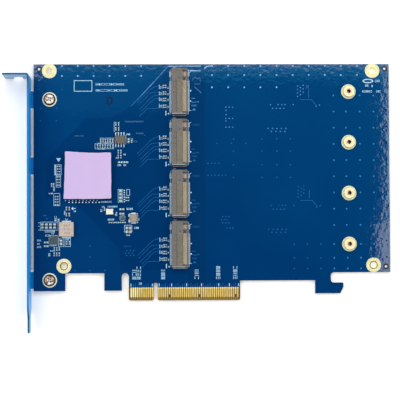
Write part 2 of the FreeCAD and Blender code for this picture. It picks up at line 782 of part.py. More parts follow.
def memory_leads():
    """Gull-wing leads, four on each long side."""
    t = LEAD_THICKNESS
    z = MEMORY_STAND + MEMORY_HEIGHT / 2 - t / 2
    inner = MEMORY_WIDTH / 2
    outer = LEAD_SPAN / 2
    knee = outer - LEAD_FOOT
    leads = []
    for side in (-1, 1):
        corners = [
            (inner, z),
            (knee - t, z),
            (knee, 0),
            (outer, 0),
            (outer, t),
            (knee + t / 2, t),
            (knee - t / 2, z + t),
            (inner, z + t),
        ]
        for i in range(LEAD_COUNT):
            x = MEMORY_X + (i - (LEAD_COUNT - 1) / 2) * LEAD_PITCH
            face = outline([(MEMORY_Y + side * a, TOP + c) for a, c in corners], on_yz)
            face.translate(V(x - LEAD_WIDTH / 2, 0, 0))
            leads.append(face.extrude(V(LEAD_WIDTH, 0, 0)))
    return group(leads)


def chip(x, y, size, upright=False):
    """A chip capacitor or resistor lying along X, or along Y if it is upright in plan."""
    length, width, height = size
    if upright:
        length, width = width, length
    return box(x - length / 2, x + length / 2, y - width / 2, y + width / 2, TOP, TOP + height)


def chip_rows(rows_of_parts, size, upright=False):
    chips = []
    for x, y, columns, rows, step_x, step_y in rows_of_parts:
        for i in range(columns):
            for j in range(rows):
                chips.append(chip(x + i * step_x, y + j * step_y, size, upright))
    return chips


def coupling_capacitors():
    """Four pairs beside the back of each socket, one pair to a lane."""
    pairs = []
    for y in MODULE_YS:
        for pair in range(COUPLING_PAIRS):
            middle = y + COUPLING_FIRST_Y - pair * COUPLING_PAIR_PITCH
            low = middle - COUPLING_ROW_PITCH / 2
            pairs.append((COUPLING_X, low, 1, 2, 0, COUPLING_ROW_PITCH))
    return group(chip_rows(pairs, CAP_0402))


def supply_capacitors():
    """The larger capacitors of the two supplies."""
    upright = (SUPPLY_INPUT_0805_UPRIGHT, SUPPLY_OUTPUT_0805_UPRIGHT, CORE_0805_UPRIGHT)
    chips = chip_rows(upright, CAP_0805, True)
    chips += chip_rows((CORE_0805,), CAP_0805)
    chips += chip_rows((CORE_0603, SUPPLY_0603, CHIP_0603), CAP_0603)
    chips += chip_rows((MEMORY_0603_UPRIGHT,), CAP_0603, True)
    return group(chips)


def signal_capacitors():
    """Small capacitors round the switch chip, the crystal and the memory chip."""
    upright = (
        MEMORY_ROW_CAPS,
        MEMORY_ABOVE_CAPS,
        CHIP_BELOW_CAPS,
        CRYSTAL_LEFT_CAP,
        CRYSTAL_RIGHT_CAP,
    )
    chips = chip_rows(upright, CAP_0402, True)
    chips += chip_rows((CHIP_LEFT_CAPS, CORE_CAPS, CORE_LOWER_CAP), CAP_0402)
    return group(chips)


def resistors():
    upright = (
        MEMORY_ROW_RESISTORS,
        MEMORY_BELOW_RESISTORS,
        CHIP_LEFT_RESISTOR_PAIR,
        SUPPLY_RESISTORS,
        INDUCTOR_RESISTORS,
    )
    chips = chip_rows(upright, RES_0402, True)
    lying = (
        CHIP_LEFT_RESISTORS,
        CHIP_LOWER_LEFT_RESISTORS,
        CHIP_LOWER_LEFT_RESISTOR,
        CORE_RESISTORS,
    )
    return group(chips + chip_rows(lying, RES_0402))


def all_nodes():
    inductors = (POWER_INDUCTOR, SMALL_INDUCTOR)
    nodes = {
        "pcb": pcb(),
        "edge_contacts_component_side": edge_contacts(TOP, COMPONENT_SIDE_SHORT_PINS),
        "edge_contacts_solder_side": edge_contacts(BOTTOM, SOLDER_SIDE_SHORT_PINS),
        "bracket": bracket(),
        "bracket_screw_upper": bracket_screw(SCREW_YS[0]),
        "bracket_screw_lower": bracket_screw(SCREW_YS[1]),
        "switch_chip_substrate": chip_substrate(),
        "switch_chip_lid": chip_lid(),
        "thermal_pad": thermal_pad(),
        "power_inductor": inductor_body(POWER_INDUCTOR),
        "small_inductor": inductor_body(SMALL_INDUCTOR),
        "inductor_terminals": group([end for place in inductors for end in inductor_terminals(place)]),
        "supply_regulator": flat_package(REGULATOR),
        "small_regulator": flat_package(SMALL_REGULATOR),
        "crystal": crystal(),
        "memory_chip_body": memory_body(),
        "memory_chip_leads": memory_leads(),
        "coupling_capacitors": coupling_capacitors(),
        "supply_capacitors": supply_capacitors(),
        "signal_capacitors": signal_capacitors(),
        "resistors": resistors(),
    }
    for number, y in enumerate(MODULE_YS, 1):
        nodes[f"m2_socket_{number}_housing"] = socket_housing(y)
        nodes[f"m2_socket_{number}_upper_contacts"] = upper_contacts(y)
        nodes[f"m2_socket_{number}_lower_tails"] = lower_tails(y)
        nodes[f"m2_socket_{number}_hold_downs"] = hold_downs(y)
        nodes[f"standoff_{number}"] = standoff(y)
    return nodes


def main():
    os.makedirs("parts", exist_ok=True)
    for name, shape in all_nodes().items():
        shape.exportStep(f"parts/{name}.step")


main()
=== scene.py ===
import json
import math
import random

import bmesh
import bpy
from mathutils import Matrix, Vector, noise


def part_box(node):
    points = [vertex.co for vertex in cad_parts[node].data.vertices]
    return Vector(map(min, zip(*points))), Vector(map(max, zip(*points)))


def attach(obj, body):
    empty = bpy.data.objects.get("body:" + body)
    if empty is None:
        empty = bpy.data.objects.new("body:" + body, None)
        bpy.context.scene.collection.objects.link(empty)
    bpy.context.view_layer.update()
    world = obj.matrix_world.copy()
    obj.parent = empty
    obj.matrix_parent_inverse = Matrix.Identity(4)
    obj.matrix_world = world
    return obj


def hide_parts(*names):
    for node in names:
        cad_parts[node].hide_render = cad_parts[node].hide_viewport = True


# The finish of a four-drive M.2 expansion card, around its CAD model.
# Sizes and places are millimetres in the CAD frame: X away from the bracket, Y up the board,
# Z out of the component side, with the origin in the edge connector's key notch.

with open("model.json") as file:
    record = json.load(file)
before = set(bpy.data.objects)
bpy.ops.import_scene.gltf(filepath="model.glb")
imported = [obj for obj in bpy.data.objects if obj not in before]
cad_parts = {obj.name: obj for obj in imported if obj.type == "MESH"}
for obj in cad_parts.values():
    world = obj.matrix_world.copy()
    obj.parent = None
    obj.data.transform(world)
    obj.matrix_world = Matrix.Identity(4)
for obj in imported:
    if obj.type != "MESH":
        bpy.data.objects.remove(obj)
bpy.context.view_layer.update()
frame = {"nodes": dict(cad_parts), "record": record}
NODES = frame["nodes"]
MM = 0.001


# Places that the CAD model gives


def span(node):
    """Lowest and highest corner of a CAD node."""
    low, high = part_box(node)
    return low / MM, high / MM


def middle(box):
    low, high = box
    return (low + high) / 2


def solids(node):
    """The (lowest, highest) corners of each separate solid of a CAD node, from left to right."""
    mesh = NODES[node].data
    keys = [tuple(round(c / MM, 3) for c in vertex.co) for vertex in mesh.vertices]
    parent = {key: key for key in keys}

    def root(key):
        while parent[key] != key:
            parent[key] = parent[parent[key]]
            key = parent[key]
        return key

    for polygon in mesh.polygons:
        corners = [keys[i] for i in polygon.vertices]
        for corner in corners[1:]:
            parent[root(corner)] = root(corners[0])
    groups = {}
    for key in parent:
        groups.setdefault(root(key), []).append(key)
    boxes = [tuple(Vector(map(pick, zip(*corners))) for pick in (min, max)) for corners in groups.values()]
    return sorted(boxes, key=lambda box: (round(box[0].x, 3), round(box[0].y, 3)))


DRIVES = (1, 2, 3, 4)
BOARD_LOW, BOARD_HIGH = span("pcb")
FACE = BOARD_HIGH.z
BACK = BOARD_LOW.z
LOWER_EDGE_Y = min(v.co.y / MM for v in NODES["pcb"].data.vertices if v.co.x / MM > BOARD_HIGH.x - 20)
SOCKETS = {drive: span(f"m2_socket_{drive}_housing") for drive in DRIVES}
SOCKET_MIDDLES = [middle(box).y for box in SOCKETS.values()]
STANDOFFS = [span(f"standoff_{drive}") for drive in DRIVES]
SCREWS = [span("bracket_screw_upper"), span("bracket_screw_lower")]
COVER_HOLES = [mount for mount in frame["record"]["mounts"] if mount["name"].startswith("cover_hole")]

# The gap in the copper planes beside the sockets, from x to x
PLANE_GAP = (15.0, 23.3)


# Finishes


def rgb(red, green, blue):
    """A display colour, 0 to 255, as the linear colour that a shader takes."""
    def linear(value):
        share = value / 255
        return share / 12.92 if share <= 0.04045 else ((share + 0.055) / 1.055) ** 2.4
    return (linear(red), linear(green), linear(blue), 1.0)


def add_node(tree, kind, sockets, **settings):
    """A shader node, whose input sockets take constants or the outputs of other nodes."""
    node = tree.nodes.new("ShaderNode" + kind)
    for name, setting in settings.items():
        setattr(node, name, setting)
    for key, value in sockets.items():
        if isinstance(value, bpy.types.NodeSocket):
            tree.links.new(value, node.inputs[key])
        else:
            node.inputs[key].default_value = value
    return node


class Finish:
    """A procedural surface, in nodes that read millimetres in the CAD frame."""

    def __init__(self, name, roughness=0.5, metallic=0.0, specular=0.5):
        self.material = bpy.data.materials.new(name)
        self.material.use_nodes = True
        self.tree = self.material.node_tree
        self.shader = self.tree.nodes["Principled BSDF"]
        self.shader.inputs["Roughness"].default_value = roughness
        self.shader.inputs["Metallic"].default_value = metallic
        self.shader.inputs["Specular IOR Level"].default_value = specular
        metres = self.add("TexCoord", {}).outputs["Object"]
        self.place = self.add("VectorMath", {0: metres, "Scale": 1 / MM}, operation="SCALE").outputs[0]

    def add(self, kind, sockets, **settings):
        return add_node(self.tree, kind, sockets, **settings)

    def noise(self, size, detail=2.0, factors=(1, 1, 1)):
        """Noise with blotches of about this size, drawn out along an axis where its factor is low."""
        place = self.add("VectorMath", {0: self.place, 1: factors}, operation="MULTIPLY").outputs[0]
        return self.add("TexNoise", {"Vector": place, "Scale": 1 / size, "Detail": detail}).outputs["Fac"]

    def axis(self, name):
        return self.add("SeparateXYZ", {0: self.place}).outputs[name]

    def remap(self, value, low, high, start=0.0, end=1.0):
        sockets = {"Value": value, "From Min": low, "From Max": high, "To Min": start, "To Max": end}
        return self.add("MapRange", sockets).outputs["Result"]

    def math(self, operation, *values):
        return self.add("Math", dict(enumerate(values)), operation=operation).outputs[0]

    def ramp(self, value, *stops):
        """Display colours at places from 0 to 1."""
        node = self.add("ValToRGB", {"Fac": value})
        elements = node.color_ramp.elements
        while len(elements) < len(stops):
            elements.new(0.5)
        for element, (position, colour) in zip(elements, stops):
            element.position = position
            element.color = rgb(*colour)
        return node.outputs["Color"]

    def tones(self, field, dark, light, low=0.3):
        return self.ramp(field, (low, dark), (1 - low, light))

    def mix(self, factor, first, second):
        return self.add("Mix", {"Factor": factor, 6: first, 7: second}, data_type="RGBA").outputs[2]

    def normal(self, axis):
        normal = self.add("NewGeometry", {}).outputs["Normal"]
        return self.add("SeparateXYZ", {0: normal}).outputs[axis]

    def facing(self, least):
        """1 where the surface faces up or down by at least this cosine, else 0."""
        return self.math("GREATER_THAN", self.math("ABSOLUTE", self.normal("Z")), least)

    def below(self, least):
        """1 where the surface faces down the board, towards the edge connector, else 0."""
        return self.math("LESS_THAN", self.normal("Y"), -least)

    def colour(self, output):
        self.tree.links.new(output, self.shader.inputs["Base Color"])

    def rough(self, value, low, high):
        """Roughness that follows a field, and the material as it then is."""
        self.tree.links.new(self.remap(value, 0.3, 0.7, low, high), self.shader.inputs["Roughness"])
        return self.material

    def relief(self, height, depth):
        """Bumps of this depth in millimetres, and the material as it then is."""
        bump = self.add("Bump", {"Distance": depth * MM, "Strength": 1.0, "Height": height})
        self.tree.links.new(bump.outputs["Normal"], self.shader.inputs["Normal"])
        return self.material


def blotched(name, dark, light, size, roughness=(0.4, 0.55), metallic=0.0, specular=0.5, relief=0.0):
    """A finish that wanders between two tones, in colour, roughness and height."""
    finish = Finish(name, metallic=metallic, specular=specular)
    finish.colour(finish.tones(finish.noise(size, 3.0), dark, light))
    finish.rough(finish.noise(size * 0.7), *roughness)
    if relief:
        finish.relief(finish.noise(size * 0.4), relief)
    return finish.material


def mask_coat(name, shift):
    """Glossy blue mask on both faces, a share darker by the shift, and laminate on the edges."""
    finish = Finish(name, specular=0.4)
    across = finish.axis("X")
    left_to_right = finish.remap(across, BOARD_LOW.x, BOARD_HIGH.x)
    low_to_high = finish.remap(finish.axis("Y"), BOARD_LOW.y, BOARD_HIGH.y)
    # Painted light: the mask's blue is painted lighter up the board and towards its right end, darkest a
    # little left of the middle.
    lower = finish.ramp(left_to_right, (0.0, (4, 54, 106)), (0.45, (0, 49, 101)), (1.0, (0, 55, 106)))
    upper = finish.ramp(left_to_right, (0.0, (0, 62, 114)), (0.45, (2, 62, 112)), (1.0, (0, 66, 116)))
    tone = finish.mix(low_to_high, lower, upper)
    tone = finish.mix(0.2, tone, finish.tones(finish.noise(30.0, 1.0), (0, 50, 102), (2, 68, 120)))
    blur = 0.3
    bare = finish.math(
        "MULTIPLY",
        finish.remap(across, PLANE_GAP[0] - blur, PLANE_GAP[0] + blur),
        finish.remap(across, PLANE_GAP[1] + blur, PLANE_GAP[1] - blur),
    )
    mask = finish.mix(finish.math("MULTIPLY", bare, 0.45), tone, rgb(6, 46, 90))
    mask = finish.mix(shift, mask, rgb(0, 36, 84))
    layers = finish.math("PINGPONG", finish.axis("Z"), 0.18)
    weave = finish.mix(finish.remap(layers, 0.12, 0.18), rgb(70, 92, 96), rgb(40, 66, 80))
    finish.colour(finish.mix(finish.facing(0.6), weave, mask))
    finish.rough(finish.noise(9.0), 0.03, 0.045)
    return finish.relief(finish.noise(2.0, 1.5), 0.014)


def screw_painted_reflections():
    """Painted reflections: a pinkish crown with painted highlights over a dark shoulder, as the head's
    slopes would mirror the room.
    """
    finish = Finish("screw_painted_reflections", roughness=0.35, metallic=0.4)
    height = finish.remap(finish.axis("Z"), FACE, SCREWS[0][1].z)
    shoulder = finish.ramp(height, (0.0, (70, 54, 20)), (0.5, (96, 72, 30)), (0.9, (60, 40, 16)))
    stops = ((0.36, (110, 80, 66)), (0.46, (222, 190, 168)), (0.58, (252, 238, 228)))
    crown = finish.ramp(finish.noise(1.1, 1.0), *stops)
    # Painted reflection: dark below 0.965 of the head's height, light with painted highlights above it.
    finish.colour(finish.mix(finish.math("GREATER_THAN", height, 0.965), shoulder, crown))
    return finish.material


def bracket_paint_and_painted_light():
    """Bright blue lacquer over folded sheet, with painted light: its faces painted brighter than its sheared
    edges, painted shade darkening those edges towards its two ends and along its outer line, and a painted
    reflection of the floor under the tab.
    """
    finish = Finish("bracket_paint_and_painted_light", specular=0.2)
    streaks = finish.noise(0.5, 3.0, (1.0, 0.03, 1.0))
    clouds = finish.noise(14.0)
    field = finish.math("ADD", finish.math("MULTIPLY", streaks, 0.4), finish.math("MULTIPLY", clouds, 0.6))
    # Painted light in four tones: the lit face, the shaded edge, the deeper painted shade of the ends, and
    # the pale painted reflection of the floor.
    pairs = (
        ((4, 138, 218), (24, 160, 240)),
        ((4, 116, 190), (18, 138, 212)),
        ((0, 72, 104), (8, 96, 130)),
        ((84, 144, 182), (114, 172, 208)),
    )
    face, edge, thin, worn = (finish.tones(field, dark, light, 0.35) for dark, light in pairs)
    across, along = finish.axis("X"), finish.axis("Y")
    # Painted shade: the edges darken towards both ends of the plate and along its outer line.
    upper_end = finish.remap(along, BOARD_HIGH.y - 13.5, BOARD_HIGH.y - 9.0)
    lower_end = finish.remap(along, -2.0, -7.0)
    outer_line = finish.remap(across, BOARD_LOW.x - 1.65, BOARD_LOW.x - 2.0)
    bare = finish.math("MAXIMUM", outer_line, finish.math("MAXIMUM", upper_end, lower_end))
    edge = finish.mix(bare, edge, thin)
    on_plate = finish.math("LESS_THAN", across, BOARD_LOW.x - 1.0)
    on_tab = finish.math("LESS_THAN", across, BOARD_LOW.x - 3.0)
    # Painted reflection: where the tab faces down the board, it takes the pale tone of the floor mirrored in
    # it.
    face = finish.mix(finish.math("MULTIPLY", finish.below(0.6), on_tab), face, worn)
    # Painted light: the plate's up- and down-facing edges take the shaded tone, the rest the lit one.
    finish.colour(finish.mix(finish.math("MULTIPLY", finish.facing(0.6), on_plate), face, edge))
    finish.rough(streaks, 0.26, 0.36)
    return finish.relief(streaks, 0.006)


def streaked_gold(name, dark, light, fingers=False):
    """Gold with fine lines along Y, as insertion leaves them; painted highlights make the fingers pale at
    their heads and on the first fingers.
    """
    finish = Finish(name, metallic=0.4, specular=0.6)
    streaks = finish.noise(0.25, 2.0, (1.0, 0.08, 1.0))
    tone = finish.tones(streaks, dark, light)
    if fingers:
        # Painted highlight: a pale gold at the fingers' heads and, below X -7.6, on the first fingers.
        pale = finish.tones(streaks, (250, 224, 128), (255, 240, 180))
        head = finish.remap(finish.axis("Y"), 5.2, 5.9)
        first = finish.remap(finish.axis("X"), -7.6, -9.2, 0.0, 0.75)
        tone = finish.mix(finish.math("MAXIMUM", head, first), tone, pale)
    finish.colour(tone)
    return finish.rough(streaks, 0.4, 0.55)


def socket_plastic():
    """Glass-filled nylon, dull, with a pinkish and olive mottle."""
    finish = Finish("socket_plastic", specular=0.35)
    stops = ((0.35, (98, 98, 90)), (0.55, (106, 100, 100)), (0.7, (122, 102, 112)))
    patches = finish.ramp(finish.noise(2.6), *stops)
    specks = finish.noise(0.35, 3.0)
    finish.colour(finish.mix(0.5, patches, finish.tones(specks, (86, 86, 84), (126, 122, 118))))
    finish.rough(specks, 0.5, 0.7)
    return finish.relief(specks, 0.01)


def pad_silicone():
    """Soft lavender gap filler with a pinkish bloom."""
    finish = Finish("pad_silicone", specular=0.2)
    bloom = finish.noise(6.0)
    top = finish.tones(bloom, (199, 177, 221), (206, 180, 220))
    # Painted highlight: the pad's sides are painted lighter than its top.
    highlight_sides = finish.tones(bloom, (214, 208, 240), (226, 220, 248))
    finish.colour(finish.mix(finish.facing(0.9), highlight_sides, top))
    finish.rough(bloom, 0.65, 0.85)
    return finish.relief(finish.noise(0.8, 3.0), 0.03)


# Name, dark and light tone and size of the blotches, then roughness, metallic, specular and relief
BLOTCHED = {
    "window": ("bare_laminate", (56, 38, 6), (82, 60, 18), 0.8, (0.5, 0.7)),
    "ring": ("hole_plating", (224, 212, 146), (240, 232, 184), 1.4, (0.35, 0.5), 0.3),
    "rim": ("bright_rim", (222, 228, 200), (242, 248, 228), 0.8, (0.4, 0.55), 0.1),
    "old_gold": ("old_gold", (216, 204, 140), (240, 232, 186), 1.0, (0.35, 0.5), 0.3),
    # Painted shade: the dark of the sockets' hold-downs and of the bar over each socket's lower end.
    "clip": ("socket_clip_painted_shade", (30, 36, 48), (58, 60, 70), 0.6, (0.4, 0.6), 0.3),
    # Painted shade: the dark of the sockets' small recesses.
    "recess": ("shallow_recess_painted_shade", (64, 52, 52), (92, 76, 74), 0.4, (0.6, 0.8)),
    "ferrite": ("inductor_ferrite", (134, 124, 112), (164, 152, 136), 0.6, (0.5, 0.7), 0.0, 0.5, 0.02),
    "small_via": ("small_via", (48, 114, 174), (84, 148, 204), 0.6, (0.3, 0.5), 0.0, 0.1),
    "faint_via": ("faint_via", (6, 80, 142), (22, 100, 164), 0.6, (0.3, 0.5), 0.0, 0.1),
    # Painted shade: the dark of the standoffs' bores and the screws' cross recesses.
    "bore": ("bore_painted_shade", (22, 16, 12), (44, 34, 26), 0.5, (0.5, 0.7)),
    "ink": ("dark_ink", (8, 26, 52), (20, 40, 70), 0.5, (0.5, 0.7), 0.0, 0.1),
    "copper_blush": ("standoff_crown", (226, 176, 134), (250, 224, 178), 1.2, (0.3, 0.5), 0.3),
    "brass": ("standoff_plating", (240, 224, 160), (252, 242, 200), 1.5, (0.3, 0.45), 0.35),
    "contact": ("contact_tin", (150, 162, 168), (196, 208, 214), 0.6, (0.35, 0.5), 0.4),
    "tin": ("terminal_tin", (164, 188, 198), (206, 228, 236), 0.5, (0.35, 0.5), 0.35, 0.5, 0.01),
    "solder": ("solder_joint", (136, 164, 178), (186, 212, 224), 0.5, (0.25, 0.4), 0.4, 0.5, 0.01),
    "carrier": ("chip_carrier", (20, 44, 30), (30, 60, 42), 1.0, (0.35, 0.5)),
    "lid": ("chip_lid", (120, 122, 126), (160, 162, 166), 2.0, (0.3, 0.45), 0.8),
    "inductor": ("inductor_powder", (176, 160, 150), (206, 187, 171), 0.8, (0.6, 0.8), 0.0, 0.5, 0.03),
    "epoxy": ("chip_epoxy", (76, 72, 64), (104, 94, 88), 1.1, (0.45, 0.6), 0.0, 0.5, 0.008),
    "regulator": ("regulator_epoxy", (34, 52, 62), (62, 80, 88), 0.7, (0.4, 0.55), 0.0, 0.5, 0.008),
    "can": ("crystal_can", (232, 220, 200), (252, 246, 236), 0.8, (0.25, 0.4), 0.3),
    "ceramic": ("capacitor_ceramic", (96, 98, 84), (134, 132, 114), 0.3, (0.5, 0.7), 0.0, 0.5, 0.01),
    "dark_ceramic": ("dark_ceramic", (62, 74, 84), (96, 98, 94), 0.3, (0.5, 0.7), 0.0, 0.5, 0.01),
    "resistor": ("resistor_glaze", (30, 50, 66), (56, 76, 92), 0.3, (0.35, 0.5)),
    "print": ("white_print", (144, 190, 216), (184, 220, 238), 0.5, (0.5, 0.7)),
    "faint_print": ("thin_print", (52, 102, 156), (74, 124, 174), 0.5, (0.5, 0.7), 0.0, 0.1),
    "via": ("open_via", (92, 158, 214), (128, 190, 232), 0.6, (0.3, 0.5)),
    "tented_via": ("tented_via", (26, 106, 168), (54, 134, 194), 0.6, (0.2, 0.35), 0.0, 0.1),
    "guard": ("guard_copper", (52, 96, 160), (96, 138, 196), 1.6, (0.2, 0.35), 0.0, 0.1),
    "guard_head": ("guard_head", (104, 146, 204), (168, 198, 238), 1.6, (0.2, 0.35), 0.0, 0.1),
    "lane": ("lane_copper", (14, 84, 142), (42, 110, 170), 1.2, (0.2, 0.35), 0.0, 0.1),
    # Painted shade: the dark of the socket combs' floors and the memory chip's dimple and line; the
    # fiducials' clearings take it too.
    "shade": ("painted_shade_dark", (26, 22, 26), (44, 34, 38), 0.4, (0.6, 0.8)),
    "comb": ("comb_metal", (120, 112, 94), (146, 138, 120), 0.5, (0.4, 0.55), 0.2),
    "jaw": ("jaw_metal", (198, 178, 142), (228, 208, 172), 0.8, (0.4, 0.55), 0.2),
    "blush": ("jaw_end_plastic", (156, 132, 128), (182, 156, 150), 0.6, (0.5, 0.7)),
    "marking": ("inductor_marking", (116, 90, 74), (142, 112, 92), 0.4, (0.6, 0.8)),
}

FINISHES = {
    "mask": mask_coat("solder_mask", 0.0),
    "mask_dark": mask_coat("solder_mask_over_lanes", 0.3),
    "bracket": bracket_paint_and_painted_light(),
    "plastic": socket_plastic(),
    "pad": pad_silicone(),
    "gold": streaked_gold("gold_plate", (196, 160, 62), (230, 202, 116), fingers=True),
    "gold_tip": streaked_gold("gold_worn", (146, 118, 40), (176, 146, 62)),
    "screw": screw_painted_reflections(),
    **{key: blotched(*row) for key, row in BLOTCHED.items()},
}

# A CAD node takes the finish beside the first of these that its name holds
NODE_FINISHES = {
    "pcb": "mask",
    "edge_contacts": "gold",
    "bracket_screw": "screw",
    "bracket": "bracket",
    "_housing": "plastic",
    "_contacts": "contact",
    "_tails": "contact",
    # The hold-downs take painted shade.
    "_hold_downs": "clip",
    "standoff": "brass",
    "_substrate": "carrier",
    "_lid": "lid",
    "thermal_pad": "pad",
    "power_inductor": "inductor",
    "small_inductor": "ferrite",
    "inductor_terminals": "tin",
    "regulator": "regulator",
    "crystal": "can",
    "_body": "epoxy",
    "_leads": "tin",
    "coupling_capacitors": "dark_ceramic",
    "capacitors": "ceramic",
    "resistors": "resistor",
}


def dress_nodes():
    for node, item in NODES.items():
        finish = next(finish for part, finish in NODE_FINISHES.items() if part in node)
        item.data.materials.clear()
        item.data.materials.append(FINISHES[finish])


dress_nodes()


# Pieces

# Heights over a face of the board
SUNK = -0.02
FIELD = 0.006
CLEARING = 0.008
MASK_RELIEF = 0.012
PLATING = 0.035
PRINT = 0.05

# What the rings of the corner holes leave free of the board's edges
EDGE_MARGIN = 0.03

SIDES = (1, -1)


def level(side, height):
    """The z of a height over the component side (1) or the solder side (-1)."""
    return side * (FACE + height)


def layer(height, side=1):
    """The z range of a thin layer that starts just inside a side of the board."""
    return sorted((level(side, SUNK), level(side, height)))


def rectangle(x0, x1, y0, y1, z, inset=0.0):
    """A level ring of four corners, drawn in by the inset."""
    x0, x1, y0, y1 = x0 + inset, x1 - inset, y0 + inset, y1 - inset
    return [(x0, y0, z), (x1, y0, z), (x1, y1, z), (x0, y1, z)]


def oval(x, y, z, half_width, half_height, segments):
    angles = [2 * math.pi * i / segments for i in range(segments)]
    return [(x + half_width * math.cos(a), y + half_height * math.sin(a), z) for a in angles]


def lay(x, y, upright, corners):
    """Corners given along and across a part, turned into place."""
    if upright:
        return [(x - across, y + along, z) for along, across, z in corners]
    return [(x + along, y + across, z) for along, across, z in corners]


class Form:
    """Closed solids, in millimetres in the CAD frame, that make up one piece."""

    def __init__(self):
        self.points = []
        self.faces = []

    def loft(self, rings, closed=False):
        """A skin over rings of as many points each, capped at its ends unless it meets itself."""
        count = len(rings[0])
        start = len(self.points)
        for ring in rings:
            self.points += [Vector(point) * MM for point in ring]
        last = len(rings) - 1
        for i in range(len(rings) if closed else last):
            here = start + i * count
            there = start + (i + 1) % len(rings) * count
            for j in range(count):
                k = (j + 1) % count
                self.faces.append((here + j, here + k, there + k, there + j))
        if not closed:
            self.faces.append(tuple(range(start, start + count)))
            self.faces.append(tuple(range(start + last * count, start + (last + 1) * count)))

    def prism(self, outline, z0, z1):
        self.loft([[(x, y, z) for x, y in outline] for z in (z0, z1)])

    def block(self, x0, x1, y0, y1, z0, z1):
        self.loft([rectangle(x0, x1, y0, y1, z) for z in (z0, z1)])

    def lozenge(self, x0, x1, y0, y1, z0, z1, rim):
        """A block whose top is drawn in by a rim, so that its upper edges catch the light."""
        steps = ((z0, 0), (z1 - rim, 0), (z1, rim))
        self.loft([rectangle(x0, x1, y0, y1, z, inset) for z, inset in steps])

    def band(self, low, high, z, corners):
        """A rectangular ring round a box, from (inset, rise over z) corners."""
        rings = [rectangle(low.x, high.x, low.y, high.y, z + rise, inset) for inset, rise in corners]
        self.loft(rings, closed=True)

    def bar(self, y0, y1, stations):
        """A bar of even width along X, through (x, lower z, upper z) stations."""
        self.loft([[(x, y0, low), (x, y1, low), (x, y1, high), (x, y0, high)] for x, low, high in stations])

    def turned(self, x, y, profile, segments=32, closed=False):
        """A solid of revolution about an upright axis, from (radius, z) corners."""
        self.loft([oval(x, y, z, radius, radius, segments) for radius, z in profile], closed)

    def disc(self, x, y, radius, z0, z1, segments=16):
        self.turned(x, y, [(radius, z0), (radius, z1)], segments)

    def ring(self, x, y, inner, outer, z0, z1, segments=48):
        self.turned(x, y, [(inner, z0), (outer, z0), (outer, z1), (inner, z1)], segments, closed=True)

    def oval_ring(self, x, y, inner, outer, z0, z1):
        """A ring between two ovals, each given by its half width and half height."""
        corners = ((inner, z0), (outer, z0), (outer, z1), (inner, z1))
        self.loft([oval(x, y, z, *halves, 24) for halves, z in corners], closed=True)

    def solder(self, x, y, upright, stations, taper=0.8, side=1):
        """Solder along X or up Y, through (place along, half width, rise) stations."""
        rings = []
        for along, half, rise in stations:
            low, high = level(side, SUNK), level(side, rise)
            top = half * taper
            ring = [(along, -half, low), (along, half, low), (along, top, high), (along, -top, high)]
            rings.append(lay(x, y, upright, ring))
        self.loft(rings)

    def stroke(self, points, width, z0, z1):
        """A line of even width along straight runs, mitred where it turns."""
        points = [Vector(point) for point in points]
        runs = [(after - before).normalized() for before, after in zip(points, points[1:])]
        left, right = [], []
        for i, point in enumerate(points):
            back, ahead = runs[max(i - 1, 0)], runs[min(i, len(runs) - 1)]
            mitre = (back + ahead).normalized()
            reach = width / 2 / max(mitre.dot(ahead), 0.5)
            side = Vector((-mitre.y, mitre.x)) * reach
            left.append(point + side)
            right.append(point - side)
        self.prism([(point.x, point.y) for point in left + right[::-1]], z0, z1)

    def keep_on_board(self):
        """Draws in what reaches past the board's upper edge, or its lower edge beside the hook."""
        low, high = (LOWER_EDGE_Y + EDGE_MARGIN) * MM, (BOARD_HIGH.y - EDGE_MARGIN) * MM
        for point in self.points:
            point.y = min(max(point.y, low), high)

    def piece(self, name, finish, slot="solder_mask_blue", crease=35.0):
        """The finished object, riding on the card."""
        mesh = bpy.data.meshes.new(name)
        mesh.from_pydata(self.points, [], self.faces)
        shell = bmesh.new()
        shell.from_mesh(mesh)
        bmesh.ops.recalc_face_normals(shell, faces=shell.faces)
        shell.to_mesh(mesh)
        shell.free()
        mesh.polygons.foreach_set("use_smooth", [True] * len(mesh.polygons))
        mesh.set_sharp_from_angle(angle=math.radians(crease))
        mesh.materials.append(FINISHES[finish])
        item = bpy.data.objects.new(name, mesh)
        bpy.context.scene.collection.objects.link(item)
        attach(item, "root")
        return item


